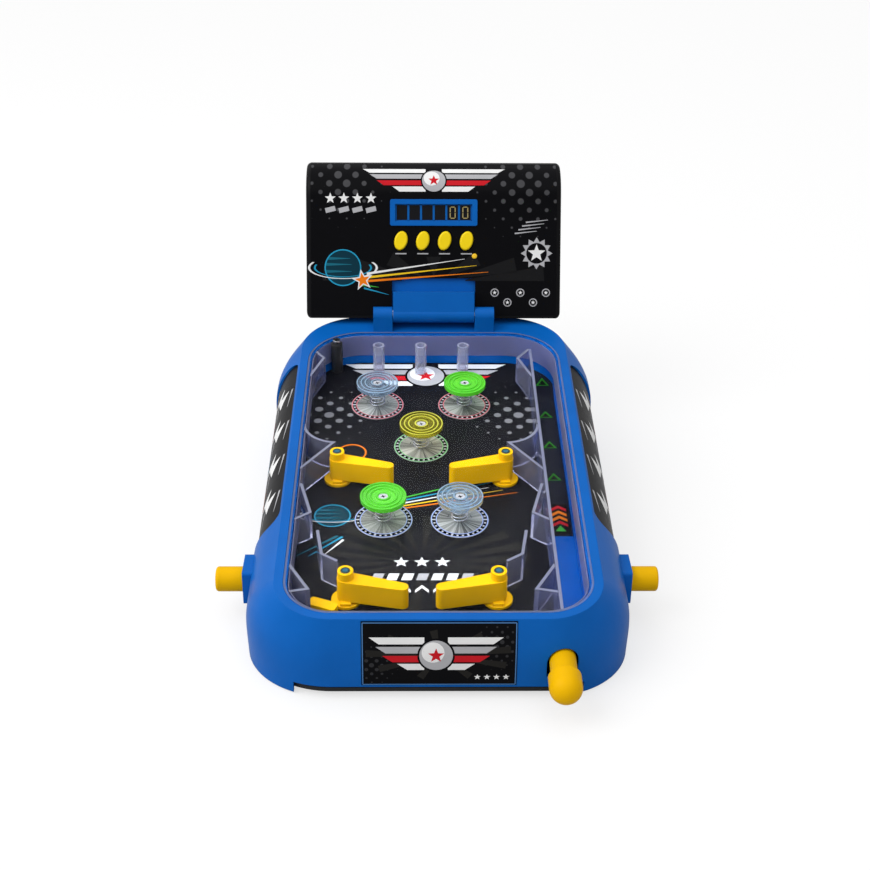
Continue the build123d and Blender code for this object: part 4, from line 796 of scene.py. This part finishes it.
# Display: dark windows between blue bars, and two dim digits
display = {
    "low": 76.6, "high": 88.8, "pitch": 10.3, "first": -25.8, "bars": 7, "bar": 1.6, "barPast": 0.6,
    "half": 31, "line": 0.7, "linePast": 0.3, "out": -7.44,
}
digit = {
    "half": 2.0, "tall": 3.8, "stroke": 0.8, "places": (4, 5), "gap": 0.3, "halfBar": 1.6, "barRise": 4.5,
}


def onDisplay(x, y, z):
    return onScore(x, y, display["out"] + z)


displayArt = startArt()
for index in range(display["bars"]):
    x = display["first"] + (index - 0.5) * display["pitch"]
    start = (x, display["low"] - display["barPast"])
    end = (x, display["high"] + display["barPast"])
    lay(displayArt, streak(start, end, display["bar"], display["bar"]), "bezelBlue", 1)
for y in (display["low"] - display["linePast"], display["high"] + display["linePast"]):
    line = streak((-display["half"], y), (display["half"], y), display["line"], display["line"])
    lay(displayArt, line, "bezelBlue", 1)
finishArt(displayArt, "displayBars", onDisplay, "score_box", "display_dark")
digitArt = startArt()
for index in digit["places"]:
    x = display["first"] + index * display["pitch"]
    y = (display["low"] + display["high"]) / 2
    for side in (-digit["half"], digit["half"]):
        for rise in (digit["gap"], -digit["gap"] - digit["tall"]):
            start = (x + side, y + rise)
            end = (x + side, y + rise + digit["tall"])
            lay(digitArt, streak(start, end, digit["stroke"], digit["stroke"]), "gold")
    for rise in (-digit["barRise"], digit["barRise"]):
        start = (x - digit["halfBar"], y + rise)
        end = (x + digit["halfBar"], y + rise)
        lay(digitArt, streak(start, end, digit["stroke"], digit["stroke"]), "gold")
finishArt(digitArt, "displayDigits", onDisplay, "score_box", "display_dark", material=inkGlow)
print("score art laid")

# Front label art, laid on the curved label, and the pale edge round it, a painted highlight on the body's
# edges
labelDesign = {
    "middle": (-2, 33), "radius": 10.5, "span": 42, "rays": 9, "rayFirst": 0.25, "rayStep": 0.7,
    "rayMiddle": (0, 33), "rayReach": (46, 17), "rayWidths": (0.6, 5.0), "stars": (24, 17),
    "starCount": 4, "starPitch": 6, "starSize": 2.2, "start": -0.21, "edge": 0.6, "longest": 5.0,
}
labelTree = BVHTree.FromBMesh(copyNode("front_label"))


def onLabel(x, z, lift):
    start = Vector((x / 1000, labelDesign["start"], z / 1000))
    hit = labelTree.ray_cast(start, Vector((0, 1, 0)))[0] or labelTree.find_nearest(start)[0]
    return hit - Vector((0, printLift + lift, 0)) / 1000


labelArt = startArt()
for index in range(labelDesign["rays"]):
    angle = index * labelDesign["rayStep"] + labelDesign["rayFirst"]
    end = onEllipse(labelDesign["rayMiddle"], labelDesign["rayReach"], angle)
    ray = streak(labelDesign["rayMiddle"], end, *labelDesign["rayWidths"])
    lay(labelArt, ray, "dusk", index % 2)
wingedBall(labelArt, labelDesign["middle"], labelDesign["radius"], labelDesign["span"], level=2)
for index in range(labelDesign["starCount"]):
    x, y = labelDesign["stars"]
    lay(labelArt, star((x + index * labelDesign["starPitch"], y), labelDesign["starSize"]), "white", 2)
labelLow, labelHigh = (Vector(corner) * 1000 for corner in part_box("front_label"))
# The pale blue edge lines are painted highlight
edgeWidth = labelDesign["edge"]
leftEdge, rightEdge = labelLow.x + edgeWidth, labelHigh.x - edgeWidth
lowEdge, highEdge = labelLow.z + edgeWidth, labelHigh.z - edgeWidth
for x in (leftEdge, rightEdge):
    lay(labelArt, streak((x, lowEdge), (x, highEdge), edgeWidth, edgeWidth), "edgeGlintBlue", 2)
for z in (lowEdge, highEdge):
    lay(labelArt, streak((leftEdge, z), (rightEdge, z), edgeWidth, edgeWidth), "edgeGlintBlue", 3)
finishArt(labelArt, "labelArt", onLabel, "cabinet", "label_print", longest=labelDesign["longest"])

# Side panel art: pale bolts and streaks along each panel
panelDesign = {
    "first": 92, "pitch": 44, "middle": 9, "tints": ("orange", "cyan", "red", "yellow"), "outside": 160,
    "bolt": ((-13, 2), (3, 10), (1, 2), (13, 5), (-4, -10), (0, -2)),
    "tintStreak": ((4, -9), (26, -5), 2.0, 0.3),
    "paleStreaks": (((-20, 10), (1, 13), 0.3, 1.4), ((-24, -3), (-8, -1), 0.3, 1.0)),
    "layer": 2, "longest": 5.0,
}
for sideName, sign in (("left", -1), ("right", 1)):
    panelTree = BVHTree.FromBMesh(copyNode(sideName + "_side_panel"))
    panelArt = startArt()
    sideways = Vector((sign, 0, 0))

    def onPanel(v, w, lift):
        start = onField(sign * panelDesign["outside"], v, w)
        hit = panelTree.ray_cast(start, -sideways)[0] or panelTree.find_nearest(start)[0]
        return hit + sideways * panelDesign["layer"] * (printLift + lift) / 1000

    for index, tint in enumerate(panelDesign["tints"]):
        v = panelDesign["first"] + index * panelDesign["pitch"]
        w = panelDesign["middle"]
        lay(panelArt, [(v + along, w + up) for along, up in panelDesign["bolt"]], "white", 1)
        rows = [(tint, panelDesign["tintStreak"])]
        rows += [("silver", row) for row in panelDesign["paleStreaks"]]
        for ink, (start, end, startWidth, endWidth) in rows:
            ends = ((v + along, w + up) for along, up in (start, end))
            lay(panelArt, streak(*ends, startWidth, endWidth), ink, 1)
    finishArt(
        panelArt, sideName + "PanelArt", onPanel, "cabinet", "black_gloss_plastic",
        longest=panelDesign["longest"],
    )
print("label and panel art laid")

# Crosses in the screw heads, painted black as shade in their recesses: under the base, behind the score box
# and on the cover
screwCross = {"radius": 2.3, "tips": 4, "waist": 0.3, "apart": 0.008, "flat": 0.00001}


def headCentres(node, outward):
    copy = copyNode(node)
    level = max(vert.co.dot(outward) for vert in copy.verts)
    groups = []
    for vert in copy.verts:
        if vert.co.dot(outward) < level - screwCross["flat"]:
            continue
        near = [group for group in groups if (group[0] - vert.co).length < screwCross["apart"]]
        if near:
            near[0].append(vert.co.copy())
        else:
            groups.append([vert.co.copy()])
    copy.free()
    return [sum(group, Vector()) / len(group) for group in groups], level


for node, name, outward, body in (
    ("base_screws", "baseScrewMarks", Vector((0, 0, -1)), "cabinet"),
    ("score_screws", "scoreScrewMarks", scoreIn, "score_box"),
    ("cover_screw", "coverScrewMark", fieldUp, "cabinet"),
):
    centres, level = headCentres(node, outward)
    upward = outward.cross(across)
    crossArt = startArt()
    for centre in centres:
        spot = (centre.dot(across) * 1000, centre.dot(upward) * 1000)
        cross = star(
            spot, screwCross["radius"], tips=screwCross["tips"], waist=screwCross["waist"],
            turn=random.uniform(0, 90),
        )
        # Painted shade of the cross recess
        lay(crossArt, cross, "black")
    finishArt(
        crossArt, name,
        lambda x, y, z: (across * x + upward * y + outward * (printLift + z)) / 1000 + outward * level,
        body, "steel",
    )
print("screw heads marked")


# Coil springs: closed end turns, open turns between them
coilShape = {"sides": 10, "stepsPerTurn": 28, "closedRise": 1.06}


def coilSpring(bm, foot, axis, side, radius, wire, length, openTurns):
    coil = bmesh.new()
    section = bmesh.ops.create_circle(coil, segments=coilShape["sides"], radius=wire / 2)["verts"]
    bmesh.ops.rotate(coil, verts=section, cent=(0, 0, 0), matrix=Matrix.Rotation(math.pi / 2, 3, "X"))
    bmesh.ops.translate(coil, verts=section, vec=(radius, 0, wire / 2))
    ends = coil.edges[:]
    closedRise = wire * coilShape["closedRise"]
    openRise = length - wire - 2 * closedRise
    for turns, rise in ((1, closedRise), (openTurns, openRise), (1, closedRise)):
        steps = turns * coilShape["stepsPerTurn"]
        swept = bmesh.ops.spin(
            coil, geom=ends, cent=(0, 0, 0), axis=(0, 0, 1), dvec=(0, 0, rise / steps),
            angle=2 * math.pi * turns, steps=steps, use_duplicate=False,
        )
        ends = [item for item in swept["geom_last"] if isinstance(item, bmesh.types.BMEdge)]
    bmesh.ops.holes_fill(coil, edges=coil.edges[:], sides=0)
    bmesh.ops.recalc_face_normals(coil, faces=coil.faces[:])
    turned = Matrix((side, axis.cross(side), axis)).transposed().to_4x4()
    coil.transform(Matrix.Translation(foot) @ turned)
    mesh = bpy.data.meshes.new("coilTemp")
    coil.to_mesh(mesh)
    coil.free()
    bm.from_mesh(mesh)
    bpy.data.meshes.remove(mesh)


bumperCoil = {"foot": 2.0, "top": 18.4, "radius": 0.0056, "wire": 0.001, "openTurns": 4}
coils = bmesh.new()
for u, v in bumperSpots.values():
    coilSpring(
        coils, onField(u, v, bumperCoil["foot"]), fieldUp, across, bumperCoil["radius"], bumperCoil["wire"],
        (bumperCoil["top"] - bumperCoil["foot"]) / 1000, bumperCoil["openTurns"],
    )
finishPiece(coils, "bumperCoils", "cabinet", "steel", ["bumper_springs"])

# Hidden return springs of the side buttons and the plunger, pressed against their fixed ends
hiddenCoil = {"wire": 0.0009, "openTurns": 5}
for node, name, joint, side in (
    ("left_button_spring", "LeftButtonSpringCoil", "left_button_slide", Vector((0, 1, 0))),
    ("right_button_spring", "RightButtonSpringCoil", "right_button_slide", Vector((0, 1, 0))),
    ("plunger_spring", "PlungerSpringCoil", "plunger_pull", across),
):
    springLow, springHigh = (Vector(corner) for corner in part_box(node))
    size = springHigh - springLow
    axis = Vector(joints[joint]["axis"]).normalized()
    width = size.x if side == across else size.z
    length = (size.y - width * math.sin(fieldTilt)) / math.cos(fieldTilt) if side == across else size.x
    foot = (springLow + springHigh) / 2 - axis * length / 2
    coil = bmesh.new()
    coilSpring(
        coil, foot, axis, side, width / 2 - hiddenCoil["wire"], hiddenCoil["wire"], length,
        hiddenCoil["openTurns"],
    )
    piece = finishPiece(coil, name, "cabinet", "steel", [node])
    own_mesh(piece)
print("springs wound")


# Painted highlights on the upper edges of the clear walls and tubes and on the cover's own edge, and the
# cover's side walls
clearTrim = {
    "lift": 0.00004, "edge": 0.0014, "ledge": 0.0031, "sheet": 0.002, "drop": 0.0182, "wall": 0.0006,
    "screwRoom": 0.0055, "flat": 0.0001,
}


def topFaces(node):
    copy = copyNode(node)
    level = max(vert.co.dot(fieldUp) for vert in copy.verts) - clearTrim["flat"]
    lower = [face for face in copy.faces if face.calc_center_median().dot(fieldUp) < level]
    bmesh.ops.delete(copy, geom=lower, context="FACES")
    return copy


# Lighter, less clear copy of the clear plastic, laid on edges as painted highlight
edgeHighlight = clearMaterial("edgeHighlight", (0.44, 0.46, 0.58), gloss=0.3, index=1.2, clear=0.76)
# The hanging walls are hazy clear plastic whose violet-grey tint is painted shade
hazySkirtShade = clearMaterial("hazySkirtShade", (0.56, 0.55, 0.7), gloss=0.36, index=1.12, clear=0.86)
for node, name in (("guide_walls", "wallEdges"), ("cover_pins", "tubeEdges")):
    edges = topFaces(node)
    bmesh.ops.translate(edges, verts=edges.verts[:], vec=fieldUp * clearTrim["lift"])
    finishPiece(edges, name, "cabinet", "clear_plastic", smooth=False, material=edgeHighlight)

# The flippers' pins look dark from above
flipperPin = {"top": 26.0, "rim": 3.0, "core": 1.9}
pinArt = startArt()
for row in ("lower", "upper"):
    for sideName in ("left", "right"):
        shaft = Vector(joints[f"{row}_{sideName}_flipper_turn"]["pos_m"]) - fieldOrigin
        spot = (shaft.x * 1000, shaft.dot(fieldAlong) * 1000)
        lay(pinArt, disc(spot, flipperPin["rim"]), "pinRim")
        lay(pinArt, disc(spot, flipperPin["core"]), "pinCore", 1)
finishArt(
    pinArt, "pinArt", lambda x, y, z: onField(x, y, flipperPin["top"] + printLift + z), "cabinet",
    "clear_plastic",
)

# The cover's border with its painted highlight, and the hazy walls that hang from it inside the rim, tinted
# violet-grey as painted shade over the blue walls behind
edges = topFaces("clear_cover")
border = bmesh.ops.inset_region(
    edges, faces=edges.faces[:], thickness=clearTrim["edge"], use_boundary=True, use_even_offset=True
)["faces"]
bmesh.ops.delete(edges, geom=[face for face in edges.faces if face not in set(border)], context="FACES")
bmesh.ops.translate(edges, verts=edges.verts[:], vec=fieldUp * clearTrim["lift"])
finishPiece(edges, "coverEdge", "cabinet", "clear_plastic", smooth=False, material=edgeHighlight)
skirt = topFaces("clear_cover")
border = bmesh.ops.inset_region(
    skirt, faces=skirt.faces[:], thickness=clearTrim["ledge"], use_boundary=True, use_even_offset=True
)["faces"]
bmesh.ops.delete(skirt, geom=border, context="FACES")
screwSpot = headCentres("cover_screw", fieldUp)[0][0]
rim = []
for edge in skirt.edges:
    middle = (edge.verts[0].co + edge.verts[1].co) / 2
    if edge.is_boundary and (middle - screwSpot).length > clearTrim["screwRoom"]:
        rim.append(edge)
sheetFaces = skirt.faces[:]
bmesh.ops.translate(skirt, verts=skirt.verts[:], vec=-fieldUp * clearTrim["sheet"])
hung = bmesh.ops.extrude_edge_only(skirt, edges=rim)["geom"]
lower = [item for item in hung if isinstance(item, bmesh.types.BMVert)]
bmesh.ops.translate(skirt, verts=lower, vec=-fieldUp * clearTrim["drop"])
bmesh.ops.delete(skirt, geom=sheetFaces, context="FACES")
bmesh.ops.recalc_face_normals(skirt, faces=skirt.faces[:])
bmesh.ops.solidify(skirt, geom=skirt.faces[:], thickness=clearTrim["wall"])
finishPiece(skirt, "coverSkirt", "cabinet", "clear_plastic", smooth=False, material=hazySkirtShade)
print("clear edges made")

# Floor, light and camera
floorLook = {"half": 12.0, "rough": 0.85, "thrownBack": 0.5, "seen": 0.93, "white": 0.65}
floorBase = bmesh.new()
bmesh.ops.create_grid(floorBase, x_segments=1, y_segments=1, size=floorLook["half"])
floorMesh = bpy.data.meshes.new("floor")
floorBase.to_mesh(floorMesh)
floorBase.free()
floor = bpy.data.objects.new("floor", floorMesh)
bpy.context.collection.objects.link(floor)
paleFloor, tree, shader = startMaterial("paleFloor")
shader.inputs["Roughness"].default_value = floorLook["rough"]
# Mostly white where the camera sees it, so that the shadow stays light, and greyer in what it throws back
cameraRay = addNode(tree, "ShaderNodeLightPath").outputs["Is Camera Ray"]
floorShade = stretch(tree, cameraRay, 0.0, 1.0, floorLook["thrownBack"], floorLook["seen"])
tree.links.new(floorShade, shader.inputs["Base Color"])
white = addNode(tree, "ShaderNodeEmission", {"Color": (1, 1, 1, 1), "Strength": 1.0}).outputs[0]
whiteShare = calculate(tree, "MULTIPLY", cameraRay, floorLook["white"])
blend = addNode(tree, "ShaderNodeMixShader", {0: whiteShare, 1: shader.outputs[0], 2: white})
tree.links.new(blend.outputs[0], tree.nodes["Material Output"].inputs["Surface"])
floorMesh.materials.append(paleFloor)


def hangLamp(name, kind, energy, place, aim):
    lamp = bpy.data.lights.new(name, kind)
    lamp.energy = energy
    lampObject = bpy.data.objects.new(name, lamp)
    lampObject.location = place
    lampObject.rotation_euler = aim.to_track_quat("-Z", "Y").to_euler()
    bpy.context.collection.objects.link(lampObject)
    return lamp


studio = {
    "key": {"place": (-1.2, -0.5, 1.4), "size": 1.2, "energy": 13.0},
    "fill": {"place": (1.0, -0.9, 1.2), "size": 1.2, "energy": 1.5},
}
lampTarget = Vector((0, 0, 0.06))
for name, lamp in studio.items():
    aim = lampTarget - Vector(lamp["place"])
    hangLamp(name, "AREA", lamp["energy"], lamp["place"], aim).size = lamp["size"]
softSky = {"energy": 1.7, "angle": 110, "place": (0, 0, 2), "way": (0.42, 0.06, -0.9)}
sky = hangLamp("softSky", "SUN", softSky["energy"], softSky["place"], Vector(softSky["way"]))
sky.angle = math.radians(softSky["angle"])

surround = {"diffuse": 0.46, "seen": 1.0}
world = bpy.data.worlds.new("studio")
bpy.context.scene.world = world
world.use_nodes = True
tree = world.node_tree
backdrop = tree.nodes["Background"]
backdrop.inputs["Color"].default_value = (1, 1, 1, 1)
rays = addNode(tree, "ShaderNodeLightPath").outputs
seen = calculate(tree, "MAXIMUM", rays["Is Camera Ray"], rays["Is Transmission Ray"])
strength = stretch(tree, seen, 0.0, 1.0, surround["diffuse"], surround["seen"])
tree.links.new(strength, backdrop.inputs["Strength"])

view = {
    "place": (-0.01562, -0.95452, 0.58933), "pitch": 0.4916, "yaw": 0.0158, "roll": 0.0082, "lens": 61.27,
    "sensor": 36.0, "near": 0.01,
}
levelAhead = Vector((math.sin(view["yaw"]), math.cos(view["yaw"]), 0))
ahead = levelAhead * math.cos(view["pitch"]) - Vector((0, 0, math.sin(view["pitch"])))
levelRight = Vector((math.cos(view["yaw"]), -math.sin(view["yaw"]), 0))
above = levelRight.cross(ahead)
rolledRight = levelRight * math.cos(view["roll"]) + above * math.sin(view["roll"])
rolledUp = above * math.cos(view["roll"]) - levelRight * math.sin(view["roll"])
camera = bpy.data.objects.new("camera", bpy.data.cameras.new("camera"))
camera.data.lens = view["lens"]
camera.data.sensor_width = view["sensor"]
camera.data.clip_start = view["near"]
facing = Matrix((rolledRight, rolledUp, -ahead)).transposed().to_4x4()
camera.matrix_world = Matrix.Translation(view["place"]) @ facing
bpy.context.collection.objects.link(camera)
bpy.context.scene.camera = camera
bpy.context.scene.view_settings.view_transform = "Standard"
print("stage and camera set")
